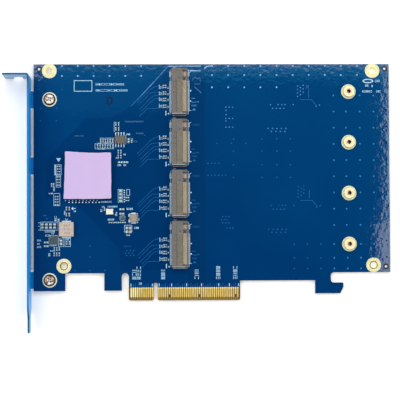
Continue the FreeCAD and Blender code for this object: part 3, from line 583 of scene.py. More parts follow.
class Layer(Form):
    """Flat shapes of one height on the component side, each kind given as rows."""

    def __init__(self, height):
        super().__init__()
        self.heights = layer(height)

    def bars(self, *rows):
        """Rectangles, each given as two x and two y."""
        for row in rows:
            self.block(*row, *self.heights)

    def shape(self, *outline):
        self.prism(outline, *self.heights)

    def line(self, width, *points):
        self.stroke(points, width, *self.heights)

    def dots(self, radius, *places):
        for x, y in places:
            self.disc(x, y, radius, *self.heights)

    def frames(self, pen, *rows):
        """Outlines of boxes, inside their given corners."""
        for x0, x1, y0, y1 in rows:
            for y in (y0, y1 - pen):
                self.bars((x0, x1, y, y + pen))
            for x in (x0, x1 - pen):
                self.bars((x, x + pen, y0 + pen, y1 - pen))

    def hatch(self, x, y, width, height, kind, pen):
        """Parallel bars inside a box: kinds 0 and 1 lie, 2 and 3 stand."""
        count = 2 + kind % 2
        for i in range(count):
            share = i / (count - 1)
            if kind < 2:
                low = y + share * (height - pen)
                self.bars((x, x + width, low, low + pen))
            else:
                left = x + share * (width - pen)
                self.bars((left, left + pen, y, y + height))

    def label(self, x, y, count, height, seed, pen=0.16, upright=False):
        """A short run of plain hatches from its lower left corner, along X or up Y."""
        chance = random.Random(seed)
        width, gap = height * 0.62, height * 0.22
        for i in range(count):
            kind = chance.randrange(4)
            step = i * (width + gap)
            if upright:
                self.hatch(x, y + step, height, width, kind, pen)
            else:
                self.hatch(x + step, y, width, height, kind, pen)

    def lying(self, *rows):
        """Labels along X."""
        for row in rows:
            self.label(*row)

    def standing(self, *rows):
        """Labels up Y."""
        for row in rows:
            self.label(*row, upright=True)


# Plated holes and vias


def hole_plating():
    """Plated barrels of the corner holes, with pale gold lands and brighter rims round them, and painted
    shade inside the lip of the lower two.
    """
    plating, rims, edges = Form(), Form(), Form()
    barrel, overlap, land, rim = 0.05, 0.05, 3.25, 3.46
    for mount in COVER_HOLES:
        x, y = mount["pos_m"][0] / MM, mount["pos_m"][1] / MM
        bore = mount["dims"]["r_mm"]
        plating.ring(x, y, bore - barrel, bore, BACK, FACE)
        for side in SIDES:
            plating.ring(x, y, bore - barrel, land, *layer(PLATING, side))
            rims.ring(x, y, land - overlap, rim, *layer(PLATING, side))
        # Painted shade: a dark ring inside the lip of the lower two holes.
        if y < middle((BOARD_LOW, BOARD_HIGH)).y:
            edges.ring(x, y, bore - 0.04, bore + 0.3, *layer(PRINT))
    plating.keep_on_board()
    rims.keep_on_board()
    plating.piece("hole_plating", "ring", "tin")
    rims.piece("hole_plating_rims", "rim", "tin")
    edges.piece("lower_hole_painted_shade", "window", "tin")


def standoff_lands():
    """The land round each standoff, the solder that climbs it, and its soldered end below."""
    lands, rims, solder = Form(), Form(), Form()
    shank, land, rim, overlap = 1.6, 3.17, 3.42, 0.05
    for low, high in STANDOFFS:
        x, y, _ = middle((low, high))
        radius = (high.x - low.x) / 2
        for side, inner in ((1, radius - 0.3), (-1, shank)):
            lands.ring(x, y, inner, land, *layer(PLATING, side))
            rims.ring(x, y, land - overlap, rim, *layer(PLATING, side))
        inner = radius - 0.05
        climb = [(inner, FACE), (radius + 0.55, FACE), (radius + 0.22, FACE + 0.16), (inner, FACE + 0.5)]
        solder.turned(x, y, climb, 48, closed=True)
        foot = [(0.95, BACK), (2.3, BACK), (1.75, BACK - 0.12), (0.95, BACK - 0.08)]
        solder.turned(x, y, foot, 32, closed=True)
    lands.piece("standoff_lands", "old_gold", "tin")
    rims.piece("standoff_land_rims", "rim", "tin")
    solder.piece("standoff_solder", "old_gold", "tin")


def screw_lands():
    """The bare ring that each bracket screw's head bears on."""
    form = Form()
    inner, outer = 2.5, 3.4
    for box in SCREWS:
        x, y, _ = middle(box)
        form.ring(x, y, inner, outer, *layer(PLATING))
    form.piece("screw_lands", "rim", "tin")


def fiducials():
    """Round targets that the placement machine reads: a bare dot in a clearing of the mask."""
    dots, clearings = Form(), Form()
    dot, clearing = 0.6, 1.4
    places = (
        (BOARD_LOW.x + 2.6, BOARD_HIGH.y - 2.3),
        (BOARD_HIGH.x - 2.1, BOARD_HIGH.y - 2.25),
        (BOARD_HIGH.x - 2.0, 15.45),
    )
    for x, y in places:
        for side in SIDES:
            dots.disc(x, y, dot, *layer(PLATING, side), 24)
            clearings.ring(x, y, dot - 0.05, clearing, *layer(CLEARING, side), 32)
    dots.piece("fiducial_dots", "tin", "tin")
    clearings.piece("fiducial_clearings", "shade")


VIA_PITCH = 7.62


def row(first_x, y, count, pitch=VIA_PITCH):
    """Places in a row along X."""
    return [(first_x + i * pitch, y) for i in range(count)]


def column(x, first_y, count, pitch):
    return [(x, first_y - i * pitch) for i in range(count)]


def grid(columns, rows):
    return [(x, y) for y in rows for x in columns]


EDGE_VIAS = row(-43.8, 110.35, 6, 7.45) + row(26.9, 110.3, 10)
FAR_EDGE_VIAS = column(108.9, 104.6, 12, 7.7)

# The columns and rows of vias round the lowest standoff
LOW_COLUMNS = [65.2 + 6.3 * i for i in range(7)]
LOW_ROWS = (26.1, 19.6, 14.6)

# The two open rows above the drives
UPPER_VIAS = row(-43.8, 105.65, 6, 7.45) + row(26.86, 106.0, 10) + row(26.84, 100.2, 5)


def drive_end_vias():
    """The grid round the standoffs, which leaves their own columns free."""
    places = []
    for i in range(9):
        y = 96.3 - 7.65 * i
        places += [(x, y) for x in (84.2, 96.6, 103.1)]
        if i % 3:
            places.append((90.1, y))
    for y, columns in zip(LOW_ROWS, ((3, 5, 6), (3, 4, 5, 6), (3, 4, 5))):
        places += [(LOW_COLUMNS[i], y) for i in columns]
    return places


def plane_vias():
    """Sparse vias that stitch the planes under the drives and beside the bracket."""
    return (
        grid((36.8, 50.2, 57.3, 63.7), (75.8, 70.05, 63.55, 57.6))
        + row(29.1, 73.7, 3, 6.8)
        + grid(LOW_COLUMNS[:3], LOW_ROWS)
        + grid((-46.4, -53.9), (90.4, 84.6))
        + [(-54.6, 99.4), (-43.8, 99.3), (-30.8, 25.6), (-30.8, 20.45)]
        + row(-37.8, 14.1, 3, 7.0)
    )


# From the upper clusters of vias and their short tracks down to the lower ones
CLUSTER_DROP = 47.6


def fanout_vias(drop):
    """Clusters of small vias under the drives' signals, moved down the board."""
    return [(x, y - drop) for x, y in (
        grid((54.4, 58.0, 59.8, 61.3, 65.2), (91.95,))
        + row(55.4, 90.2, 4, 1.75)
        + column(67.23, 100.8, 4, 1.65)
        + column(68.6, 100.0, 3, 1.65)
        + column(69.9, 101.1, 3, 1.65)
        + [(76.0, 91.1), (77.6, 91.8)]
        + row(53.2, 80.7, 5, 2.1)
        + row(54.8, 79.3, 4, 2.1)
    )]


def upper_clusters():
    """The clusters that the room's light picks out."""
    beside = grid((33.3, 34.9, 36.5), (90.8, 85.5, 81.4))
    return fanout_vias(0) + beside + [(33.4, 89.3), (33.4, 87.3), (33.3, 84.3)]


def lower_clusters():
    """The clusters that lie in the dark of the mask."""
    rows = (
        (31.6, 39.2, 3, 1.48),
        (31.0, 37.75, 3, 1.4),
        (31.6, 36.25, 3, 1.48),
        (33.8, 33.8, 3, 1.3),
        (24.8, 58.65, 6, 1.65),
        (24.8, 64.3, 4, 1.7),
        (-13.5, 23.4, 3, 1.6),
        (-14.1, 22.2, 3, 1.55),
        (-13.5, 21.1, 3, 1.65),
    )
    return fanout_vias(CLUSTER_DROP) + [place for numbers in rows for place in row(*numbers)]


def add_via(form, x, y, outer, hole, side):
    """A ring proud of the mask round a filled dimple."""
    base, crest, dip = (level(side, height) for height in (SUNK, PLATING, MASK_RELIEF))
    form.turned(x, y, [(outer, base), (outer, crest), (hole, crest), (hole * 0.6, dip)], 14)


def vias():
    kinds = (
        ("upper_vias", UPPER_VIAS, "via", 0.4),
        ("edge_vias", EDGE_VIAS, "via", 0.42),
        ("far_edge_vias", FAR_EDGE_VIAS, "ink", 0.42),
        ("drive_end_vias", drive_end_vias(), "tented_via", 0.4),
        ("plane_vias", plane_vias(), "faint_via", 0.34),
        ("upper_clusters", upper_clusters(), "small_via", 0.3),
        ("lower_clusters", lower_clusters(), "faint_via", 0.32),
    )
    for name, places, finish, radius in kinds:
        form = Form()
        for x, y in places:
            for side in SIDES:
                add_via(form, x, y, radius, radius * 0.4, side)
        form.piece(name, finish)


def chip_row_vias():
    """Two rows of test points below the switch chip."""
    form = Form()
    for x, y in row(-40.5, 46.1, 10, 1.57):
        add_via(form, x, y, 0.32, 0.1, 1)
    for x, y in row(-42.2, 47.0, 10, 1.65):
        add_via(form, x, y, 0.22, 0.08, 1)
    form.piece("chip_test_points", "tin", "tin")


# Copper under the mask


def lane_copper():
    """The drives' signal pairs, from each row of coupling capacitors towards the switch chip."""
    form = Layer(MASK_RELIEF)
    lanes = (
        ((2.0, 3.1), (-0.75, 2.15), (-2.4, 0.9), (-8.5, -5.2)),
        ((1.84, -0.1), (-1.4, -0.3), (-2.6, -0.9), (-8.0, -6.4)),
        ((1.83, -1.8), (-0.3, -1.7), (-2.4, -3.3), (-7.4, -8.3)),
        ((1.83, -3.3), (0.0, -3.2), (-1.95, -4.6), (-6.6, -9.3)),
        ((1.6, -7.7), (-3.6, -7.9), (-7.4, -11.6)),
    )
    for y in SOCKET_MIDDLES:
        for lane in lanes:
            form.line(0.17, *((x, y + rise) for x, rise in lane))
    form.piece("lane_copper", "lane")


def guard_copper():
    """The wide bare-looking track round the first socket's head, and short ones beside it."""
    top = BOARD_HIGH.y - 0.95
    guard, head, tail = Layer(PLATING), Layer(PLATING), Layer(PLATING)
    guard.line(0.4, (-7.2, 95.6), (6.2, top))
    head.line(0.42, (6.2, top), (21.7, top + 0.1))
    head.line(0.5, (14.9, 108.2), (21.4, 108.0))
    head.line(0.55, (23.2, 109.1), (24.5, 110.1), (26.4, 110.4))
    tail.line(0.4, (-11.4, 91.4), (-7.3, 95.5))
    guard.piece("guard_copper", "guard")
    head.piece("guard_head", "guard_head")
    tail.piece("guard_tail", "lane")


def routing_fields():
    """Where the copper is cut up by the drives' lanes, the mask over it looks a shade darker."""
    form = Layer(FIELD)
    form.shape(
        (-10.9, 91.6),
        (-21.2, 86.0),
        (-32.4, 86.0),
        (-51.4, 66.0),
        (-51.4, 48.0),
        (-39.6, 47.0),
        (-34.2, 42.5),
        (-16.8, 23.7),
        (-16.8, 14.2),
        (6.4, 14.2),
        (6.4, 108.9),
        (-2.0, 100.0),
    )
    form.piece("routing_field", "mask_dark", crease=20.0)


def jumper_marks():
    """Short straight tracks by the upper and lower via clusters."""
    form = Layer(MASK_RELIEF)
    tracks = (((68.3, 94.3), (73.8, 94.3)), ((72.5, 99.3), (72.5, 95.2)), ((73.8, 94.3), (76.2, 91.4)))
    for drop in (0, CLUSTER_DROP):
        for track in tracks:
            form.line(0.22, *((x, y - drop) for x, y in track))
    form.piece("jumper_tracks", "lane")


# Edge connector


BEVEL_TOP = 1.5
BEVEL_ANGLE = 20.0
BEVEL_DROP = BEVEL_TOP * math.tan(math.radians(BEVEL_ANGLE))
WINDOW_TOP = 6.15
NOTCH_HALF = 0.95
CONTACTS = {1: solids("edge_contacts_component_side"), -1: solids("edge_contacts_solder_side")}


def add_plate(form, side, outline, low, high):
    """A plate over the face, and over the insertion edge's bevel where y is lower."""
    def place(x, y, height):
        drop = BEVEL_DROP * max(0.0, 1 - y / BEVEL_TOP)
        return (x, y, side * (FACE + height - drop))
    form.loft([[place(x, y, height) for x, y in outline] for height in (low, high)])


def connector_window():
    """Bare laminate between the fingers, where the mask is left open, parted by the key notch."""
    form = Form()
    low, high = span("edge_contacts_component_side")
    margin, cut = 0.75, 0.5
    for side in SIDES:
        for x0, x1 in ((low.x - margin, -NOTCH_HALF), (NOTCH_HALF, high.x + margin)):
            flat = [(x0, BEVEL_TOP), (x1, BEVEL_TOP), (x1, WINDOW_TOP), (x0, WINDOW_TOP)]
            tip = [(x0 + cut, 0.02), (x1 - cut, 0.02), (x1, cut)]
            sloped = tip + [(x1, BEVEL_TOP), (x0, BEVEL_TOP), (x0, cut)]
            for outline in (flat, sloped):
                add_plate(form, side, outline, SUNK, MASK_RELIEF)
    form.piece("connector_window", "window")


def contact_tips():
    """The gold that each finger carries on down the bevel."""
    form = Form()
    end, thickness = 0.12, 0.045
    for side, contacts in CONTACTS.items():
        for low, high in contacts:
            top = min(low.y, BEVEL_TOP)
            tip = [(low.x, end), (high.x, end), (high.x, top), (low.x, top)]
            add_plate(form, side, tip, 0.0, thickness)
    form.piece("contact_tips", "gold_tip", "gold_plating")


def contact_feeds():
    """Short tracks that leave the top of each finger under the mask."""
    form = Form()
    width = 0.24
    for side, contacts in CONTACTS.items():
        heights = layer(MASK_RELIEF, side)
        for i, contact in enumerate(contacts):
            x = middle(contact).x
            end = WINDOW_TOP + 0.7 + 0.5 * (i % 3)
            form.stroke([(x, WINDOW_TOP), (x, end)], width, *heights)
            form.disc(x, end, width, *heights, 12)
    form.piece("contact_feeds", "lane")


# Chip parts


def chips(node):
    """Middle, half length, half width, height and whether it stands along Y, for each chip."""
    found = []
    for low, high in solids(node):
        x, y, _ = middle((low, high))
        size = high - low
        found.append((x, y, max(size.xy) / 2, min(size.xy) / 2, size.z, size.y > size.x))
    return found


def chip_ends():
    """The metal end of each chip capacitor and resistor, and the solder that climbs it."""
    ends, solder = Form(), Form()
    skin, rim = 0.02, 0.05
    for node in ("coupling_capacitors", "supply_capacitors", "signal_capacitors", "resistors"):
        for x, y, half_length, half_width, height, upright in chips(node):
            wrap = min(0.6 * half_length, 0.5)
            pad = 0.3 + 0.2 * half_width
            width = half_width + skin
            top = FACE + height + skin
            climb = 0.62 * height
            slope = ((0.0, climb), (pad * 0.3, climb * 0.42), (pad * 0.68, climb * 0.14), (pad, 0.03))
            for end in SIDES:
                tip, root = end * (half_length + skin), end * (half_length - wrap)
                rings = []
                for z, inset in ((FACE, 0), (top - rim, 0), (top, rim)):
                    a, b = tip - end * inset, width - inset
                    rings.append(lay(x, y, upright, [(a, -b, z), (a, b, z), (root, b, z), (root, -b, z)]))
                ends.loft(rings)
                stations = []
                for reach, rise in slope:
                    stations.append((tip + end * (reach - 0.01), width + 0.04 + 0.06 * reach, rise))
                solder.solder(x, y, upright, stations, taper=0.92)
    ends.piece("chip_metal_ends", "tin", "tin")
    solder.piece("chip_solder_joints", "solder", "tin")


def memory_chip_finish():
    """Solder at each lead of the memory chip, and the dimple and line by its first lead."""
    solder, mark = Form(), Form()
    low, high = span("memory_chip_body")
    centre_y = middle((low, high)).y
    for lead in solids("memory_chip_leads"):
        outwards = 1 if lead[0].y > centre_y else -1
        tip = lead[1].y if outwards > 0 else lead[0].y
        slope = ((-0.55, 0.27, 0.06), (0.0, 0.3, 0.2), (0.28, 0.3, 0.07), (0.5, 0.27, 0.03))
        # laid upright, a half width below nought starts each ring at its low X
        stations = [(outwards * reach, -half, rise) for reach, half, rise in slope]
        solder.solder(middle(lead).x, tip, True, stations)
    top, sunk = high.z, high.z - 0.05
    # Painted shade: the dimple and the line take the dark shade tone.
    mark.turned(low.x + 0.8, low.y + 0.8, [(0.3, sunk), (0.3, top + 0.012), (0.2, top + 0.004)], 20)
    mark.block(low.x + 0.18, high.x - 0.18, low.y + 0.16, low.y + 0.24, sunk, top + 0.01)
    solder.piece("memory_chip_solder", "solder", "tin")
    mark.piece("memory_chip_marks", "shade", "chip_black")


def package_lands():
    """Lands that show at the edges of the two supply chips and the crystal."""
    form = Form()
    reach, rise = 0.32, 0.22
    for node, count in (("supply_regulator", 5), ("small_regulator", 3)):
        low, high = span(node)
        half = 0.3 * (high.y - low.y) / count
        for i in range(count):
            x, y, _ = low.lerp(high, (i + 0.5) / count)
            for x0 in (low.x - reach, high.x):
                form.block(x0, x0 + reach, y - half, y + half, *layer(rise))
            for y0 in (low.y - reach, high.y):
                form.block(x - half, x + half, y0, y0 + reach, *layer(rise))
    low, high = span("crystal")
    for x0 in (low.x - 0.15, high.x - 0.95):
        for y0 in (low.y - 0.12, high.y - 0.75):
            form.lozenge(x0, x0 + 1.1, y0, y0 + 0.87, *layer(0.1), 0.04)
    form.piece("package_lands", "tin", "tin")


def package_marks():
    """The small dot moulded by the first land of each supply chip, and the crystal's weld seam."""
    dots, seam = Form(), Form()
    for node in ("supply_regulator", "small_regulator"):
        low, high = span(node)
        profile = [(0.2, high.z - 0.04), (0.2, high.z + 0.01), (0.12, high.z + 0.004)]
        dots.turned(low.x + 0.5, high.y - 0.5, profile, 16)
    low, high = span("crystal")
    seam.band(low, high, high.z, ((0.42, -0.03), (0.3, -0.03), (0.336, 0.03), (0.384, 0.03)))
    dots.piece("supply_chip_dots", "print", "chip_black")
    seam.piece("crystal_weld_seam", "can", "crystal_can")


def inductor_finish():
    """Lands and parting lines of the two inductors, with plain ticks where the value is marked."""
    lands, seams, ticks = Form(), Form(), Form()
    for node in ("power_inductor", "small_inductor"):
        low, high = span(node)
        margin = 0.55 * (high.x - low.x) / 3
        for y0 in (low.y - 0.75, high.y - 0.1):
            lands.lozenge(low.x + margin, high.x - margin, y0, y0 + 0.85, *layer(0.18), 0.06)
        waist = low.z + (high.z - low.z) * 0.45
        seams.band(low, high, waist, ((0.1, -0.08), (-0.03, -0.08), (-0.03, 0.08), (0.1, 0.08)))
    for y in (low.y + 0.55, high.y - 0.55):
        lands.lozenge(low.x - 0.85, low.x + 0.05, y - 0.65, y + 0.65, *layer(0.4), 0.12)
    low, high = span("power_inductor")
    centre = middle((low, high))
    heights = (high.z - 0.03, high.z + 0.012)
    for i in range(3):
        for j in range(3):
            x, y = centre.x + 0.35 + (j - 1) * 0.95, centre.y + (1 - i) * 1.75
            for low_y in (y - 0.42, y + 0.24):
                ticks.block(x - 0.3, x + 0.3, low_y, low_y + 0.18, *heights)
            left = x - 0.3 if (i + j) % 2 else x + 0.14
            ticks.block(left, left + 0.16, y - 0.3, y + 0.3, *heights)
    lands.piece("inductor_lands", "tin", "tin")
    seams.piece("inductor_parting_lines", "inductor", "inductor_grey")
    ticks.piece("inductor_ticks", "marking", "inductor_grey")


# Drive sockets, each from its back x, middle y and top z


ROOF_STEP = 0.2


def socket_comb(name, x, y, top):
    """The grooved window in the socket's roof over its upper springs, its floor in painted shade."""
    roof = top - ROOF_STEP
    shade_bed, teeth = Form(), Form()
    x0, x1 = x + 2.3, x + 5.02
    low, high, pitch = -9.57, 5.15, 0.5
    # Painted shade: a dark floor under the teeth.
    shade_bed.block(x0, x1, y + low, y + high, roof - 0.03, roof + 0.015)
    for i in range(int((high - low) / pitch) + 1):
        b = y + low + i * pitch
        teeth.block(x0 + 0.1, x1 - 0.1, b, b + 0.32, roof - 0.03, roof + 0.07)
    shade_bed.piece(name + "_comb_bed", "shade", "socket_plastic")
    teeth.piece(name + "_comb", "comb", "socket_contact")


def socket_springs(name, x):
    """The lower springs that rise from the jaw under the module's contact edge."""
    form = Form()
    runs = ((6.95, 2.2, 2.35), (6.2, 2.55, 2.78), (5.35, 3.05, 3.3), (5.0, 3.22, 3.42), (4.6, 3.12, 3.3))
    stations = [(x + reach, base, crest) for reach, base, crest in runs]
    for tail in solids(f"m2_{name}_lower_tails"):
        y = middle(tail).y
        form.bar(y - 0.12, y + 0.12, stations)
    form.piece(name + "_lower_springs", "jaw", "socket_contact")


def socket_solder(name, y):
    """Solder at both rows of contacts and at one clip, and a painted highlight along the other clip's edge.
    """
    joints, clips, shining = Form(), Form(), Form()
    slope = ((-0.75, 0.17, 0.05), (-0.1, 0.19, 0.15), (0.05, 0.2, 0.09), (0.16, 0.19, 0.03))
    for row_name, side in (("upper_contacts", -1), ("lower_tails", 1)):
        stations = [(side * reach, half, rise) for reach, half, rise in slope]
        for low, high in solids(f"m2_{name}_{row_name}"):
            joints.solder(low.x if side < 0 else high.x, middle((low, high)).y, False, stations)
    for low, high in solids(f"m2_{name}_hold_downs"):
        if low.y > y:
            clips.lozenge(low.x + 0.25, low.x + 1.6, high.y - 0.12, high.y + 0.16, *layer(0.3), 0.06)
        else:
            # Painted highlight: a bright bar along the lower clip's edge.
            shining.block(low.x, high.x, low.y + 0.3, low.y + 0.52, FACE + 0.1, FACE + 0.24)
    joints.piece(name + "_solder", "contact", "tin")
    clips.piece(name + "_clip_solder", "contact", "tin")
    shining.piece(name + "_clip_shine", "tin", "tin")


def socket_marks(name, x, y, top):
    """Recesses of the moulding in painted shade, its end block and pegs, and a painted shadow bar and a
    painted highlight bar over its lower end.
    """
    roof = top - ROOF_STEP
    dark, light, pegs, highlight_bar, shade_bar = Form(), Form(), Form(), Form(), Form()
    # Painted shade in the pin mark, the key's core hole, a slot by the upper end, and grooves in the pick-up
    # band
    dark.turned(x + 3.7, y + 6.2, [(0.42, roof - 0.04), (0.42, roof + 0.016), (0.3, roof + 0.006)], 20)
    dark.block(x + 5.55, x + 6.5, y + 5.55, y + 6.65, 2.6, 3.0)
    dark.block(x + 4.3, x + 5.2, y + 10.15, y + 10.55, roof - 0.04, roof + 0.012)
    grooves = ((4.6, 0.7, 2.0), (3.3, 0.4, 1.4), (1.9, 0.7, 2.0), (-0.6, 0.5, 2.0), (-2.4, 0.9, 1.9))
    for b, start, end in grooves:
        dark.block(x + start, x + end, y + b - 0.14, y + b + 0.14, top - 0.04, top + 0.008)
    surface = ((0.25, top), (2.2, top), (5.1, roof), (7.4, FACE + 2.25))
    stations = [(x + a, z - 0.06, z + 0.014) for a, z in surface]
    # Painted shadow in a dark bar over the lower end, and a painted highlight in a light bar just inside it.
    shade_bar.bar(y - 10.93, y - 10.66, stations)
    highlight_bar.bar(y - 10.58, y - 10.38, stations)
    light.lozenge(x + 5.6, x + 6.75, y + 7.05, y + 9.3, 2.3, 3.3, 0.15)
    for b in (9.6, -9.6):
        pegs.turned(x + 3.6, y + b, [(0.55, BACK + 0.3), (0.55, BACK - 0.25), (0.35, BACK - 0.4)], 20)
    dark.piece(name + "_recesses", "recess", "socket_plastic")
    light.piece(name + "_end_block", "blush", "socket_plastic")
    pegs.piece(name + "_pegs", "plastic", "socket_plastic")
    highlight_bar.piece(name + "_end_beads", "contact", "socket_plastic")
    shade_bar.piece(name + "_end_groove", "clip", "socket_plastic")


def sockets():
    for number, (low, high) in SOCKETS.items():
        name, x, y, top = f"socket_{number}", low.x, middle((low, high)).y, high.z
        socket_comb(name, x, y, top)
        socket_springs(name, x)
        socket_solder(name, y)
        socket_marks(name, x, y, top)


# Printed marks: outlines, pin marks and plain strokes, none of them lettering.
# A run of hatches is x, y, count, height, seed and perhaps a pen's width; a box is two x, then two y.


def socket_print(form, y):
    """Pin marks and strokes round one socket, placed from its middle."""
    for low, high in ((1.35, 3.4), (-1.6, 0.1), (-4.4, -2.6), (-7.6, -5.7)):
        form.bars((1.86, 2.12, y + low, y + high))
        form.standing((2.45, y + low + 0.1, 2, 0.85, int(low * 10), 0.2))
        form.standing((5.75, y + low + 0.1, 2, 0.6, int(low * 7)))
    form.bars(
        (7.06, 7.24, y - 10.6, y + 10.6),
        (15.54, 15.74, y - 10.6, y + 10.6),
        (4.8, 5.3, y - 11.1, y - 9.0),
        (15.5, 17.0, y - 9.0, y - 8.76),
    )
    form.dots(0.36, (6.3, y - 10.3), (16.7, y + 0.5), (16.65, y - 4.4))
    form.line(0.22, (15.6, y + 9.0), (16.9, y + 9.6))


def socket_print_beside(form, y):
    """Plain strokes, a dot and a triangle on the drive's side of a socket."""
    form.dots(0.36, (20.3, y - 4.7))
    form.bars((17.1, 18.8, y - 3.25, y - 2.95))
    form.shape((17.4, y - 8.75), (19.2, y - 8.75), (18.3, y - 7.8))
    form.line(0.3, (17.2, y - 4.9), (18.6, y - 5.0), (20.3, y - 4.6))
    form.lying((17.2, y - 6.9, 4, 0.8, 7, 0.14))


def socket_print_faint(form, y):
    """Loose strokes beside the uppermost socket."""
    form.line(0.34, (18.5, y + 2.4), (21.8, y - 0.6))
    form.line(0.3, (17.4, y + 5.4), (18.7, y + 6.9), (20.1, y + 6.0), (21.3, y + 6.9))
    form.line(0.24, (18.4, y + 3.7), (21.2, y + 3.7))
    form.line(0.3, (21.2, y + 6.4), (21.3, y + 4.9))


def connector_print(form):
    """Pin ticks above the fingers, and upright runs of strokes above them."""
    for x in (-11.6, -1.6, 1.6, 7.5, 14.5, 21.5, 29.6, 34.6, 38.9):
        form.bars((x - 0.17, x + 0.17, 6.5, 7.9))
    for i, (x, count) in enumerate(((-11.0, 3), (-8.9, 4), (2.5, 3), (18.3, 3), (28.4, 4), (36.4, 4))):
        form.standing((x, 9.9, count, 1.9, 20 + i, 0.26))
    form.lying((-7.9, 7.4, 2, 0.9, 31, 0.24))


def memory_print(form):
    """Part outlines and strokes round the memory chip."""
    low, high = span("memory_chip_body")
    form.frames(0.16, (-25.9, -19.5, 74.0, 76.4), (-28.4, -19.5, 71.2, 73.7))
    form.bars((high.x + 0.25, high.x + 0.5, low.y - 0.2, high.y + 0.3), (-19.4, -19.2, 79.3, 84.1))
    form.lying(
        (-13.6, 77.7, 3, 0.75, 41, 0.22),
        (-27.4, 73.5, 9, 0.55, 43),
        (-27.4, 71.0, 9, 0.5, 44),
        (-25.7, 73.75, 7, 0.5, 45),
    )
    form.standing((-11.5, 74.2, 3, 0.9, 42, 0.22))


def supply_print(form):
    """Part outlines, pin marks and strokes round the supply chips and the power inductor."""
    low, high = span("supply_regulator")
    form.frames(0.2, (-54.1, -45.7, 33.0, 37.0), (-42.6, -39.8, 25.3, 29.3), (-45.6, -43.1, 25.3, 29.4))
    for y in (33.2, 34.9, 36.6):
        form.bars((-54.95, -54.3, y - 0.15, y + 0.15))
    form.bars((low.x, high.x - 0.6, low.y - 0.75, low.y - 0.5), (-38.7, -37.4, 43.05, 43.4))
    form.shape((high.x + 0.15, high.y - 1.9), (high.x + 1.1, high.y - 1.9), (high.x + 0.15, high.y - 0.3))
    form.shape((-39.6, 43.2), (-38.6, 44.1), (-38.6, 42.4))
    form.line(0.26, (-42.3, 38.6), (-41.9, 37.5), (-41.1, 38.5))
    form.lying(
        (-42.3, 28.3, 3, 0.75, 50, 0.2),
        (-51.9, 32.0, 6, 0.95, 51, 0.2),
        (-51.7, 30.1, 3, 0.9, 52, 0.2),
        (-48.8, 31.1, 2, 0.8, 53, 0.2),
        (-55.5, 27.9, 3, 0.8, 27, 0.2),
        (-55.5, 26.3, 2, 0.8, 26, 0.2),
        (-55.5, 24.8, 3, 0.8, 24, 0.2),
        (-38.4, 41.6, 2, 0.7, 57, 0.2),
        (-49.5, 23.1, 5, 0.55, 59),
    )
    form.standing(
        (-47.4, 37.4, 3, 1.0, 54, 0.22),
        (-45.9, 37.1, 2, 0.9, 55, 0.22),
        (-50.3, 20.9, 2, 0.9, 58, 0.22),
    )


def chip_print(form):
    """Corner marks and upright strokes round the switch chip."""
    form.shape((-46.5, 66.9), (-44.3, 66.9), (-45.4, 65.1))
    form.frames(0.22, (-47.4, -44.1, 58.9, 63.9))
    form.frames(0.18, (-46.7, -44.4, 53.2, 58.7))
    form.frames(0.2, (-47.8, -44.8, 44.5, 50.4))
    form.bars((-47.0, -46.6, 59.1, 63.7))
    form.standing((-48.0, 51.4, 3, 0.8, 62, 0.2), (-42.9, 40.2, 4, 0.6, 64))
    form.lying((-25.5, 45.95, 8, 0.75, 63, 0.2))
    for x, y, count in ((-17.8, 63.2, 3), (-14.9, 63.2, 2), (-18.6, 66.6, 2), (-15.0, 68.2, 2)):
        form.lying((x, y, count, 0.75, int(-x * y), 0.2))


def core_print(form):
    """Strokes round the small inductor, the crystal and the core supply's parts."""
    low, high = span("small_inductor")
    gap = 0.45
    form.frames(
        0.2,
        (-17.6, -15.4, 46.0, 52.2),
        (-13.6, -12.0, 49.2, 52.2),
        (-14.7, -11.0, 32.0, 35.4),
        (low.x - gap, high.x + gap, low.y - gap, high.y + gap),
    )
    for i in range(6):
        y = 46.1 + i * 1.05
        form.bars((-14.9, -14.3, y, y + 0.55))
    form.lying(
        (-22.5, 43.7, 8, 0.7, 70, 0.2),
        (-13.5, 42.5, 4, 0.9, 71, 0.24),
        (-10.0, 33.6, 3, 0.9, 72, 0.26),
        (-25.1, 43.6, 2, 0.75, 75, 0.22),
        (-19.0, 39.9, 2, 0.7, 76, 0.22),
        (-22.4, 37.6, 5, 0.75, 77, 0.2),
        (-19.2, 43.7, 2, 0.5, 78, 0.2),
        (-13.9, 47.9, 2, 0.6, 79, 0.2),
    )
    form.standing((-8.3, 37.4, 2, 0.7, 73, 0.2), (-25.8, 41.7, 2, 0.8, 74, 0.22))


def corner_print(form):
    """Plain marks below the upper right hole."""
    form.oval_ring(100.6, 103.1, (1.9, 0.55), (2.6, 1.05), *form.heights)
    form.lying(
        (103.9, 102.6, 3, 1.0, 91, 0.24),
        (99.3, 100.4, 2, 1.0, 92, 0.26),
        (102.3, 100.3, 1, 0.9, 93, 0.2),
        (97.9, 97.7, 6, 0.95, 94, 0.26),
        (104.5, 97.7, 3, 0.9, 95, 0.18),
    )


def field_print(form):
    """An empty frame and two runs of plain hatching in the board's upper left field."""
    form.frames(0.3, (-38.2, -29.6, 98.3, 103.6))
    form.lying((-28.0, 101.2, 17, 0.95, 96, 0.18), (-28.0, 98.3, 19, 0.95, 97, 0.18))


def faint_print(form):
    """Thin marks beside the memory chip and the supply parts, and a cross above the via clusters."""
    form.lying(
        (-14.2, 83.75, 16, 0.66, 81),
        (-9.1, 78.2, 8, 0.56, 82),
        (-5.3, 77.3, 2, 0.45, 83),
        (-11.0, 74.4, 5, 0.6, 84),
        (-37.9, 77.1, 10, 0.5, 65),
        (-52.7, 39.7, 4, 0.45, 85),
        (-51.5, 38.3, 3, 0.45, 86),
    )
    form.line(0.25, (71.2, 99.7), (72.6, 101.1))
    form.line(0.25, (71.2, 101.1), (72.6, 99.7))


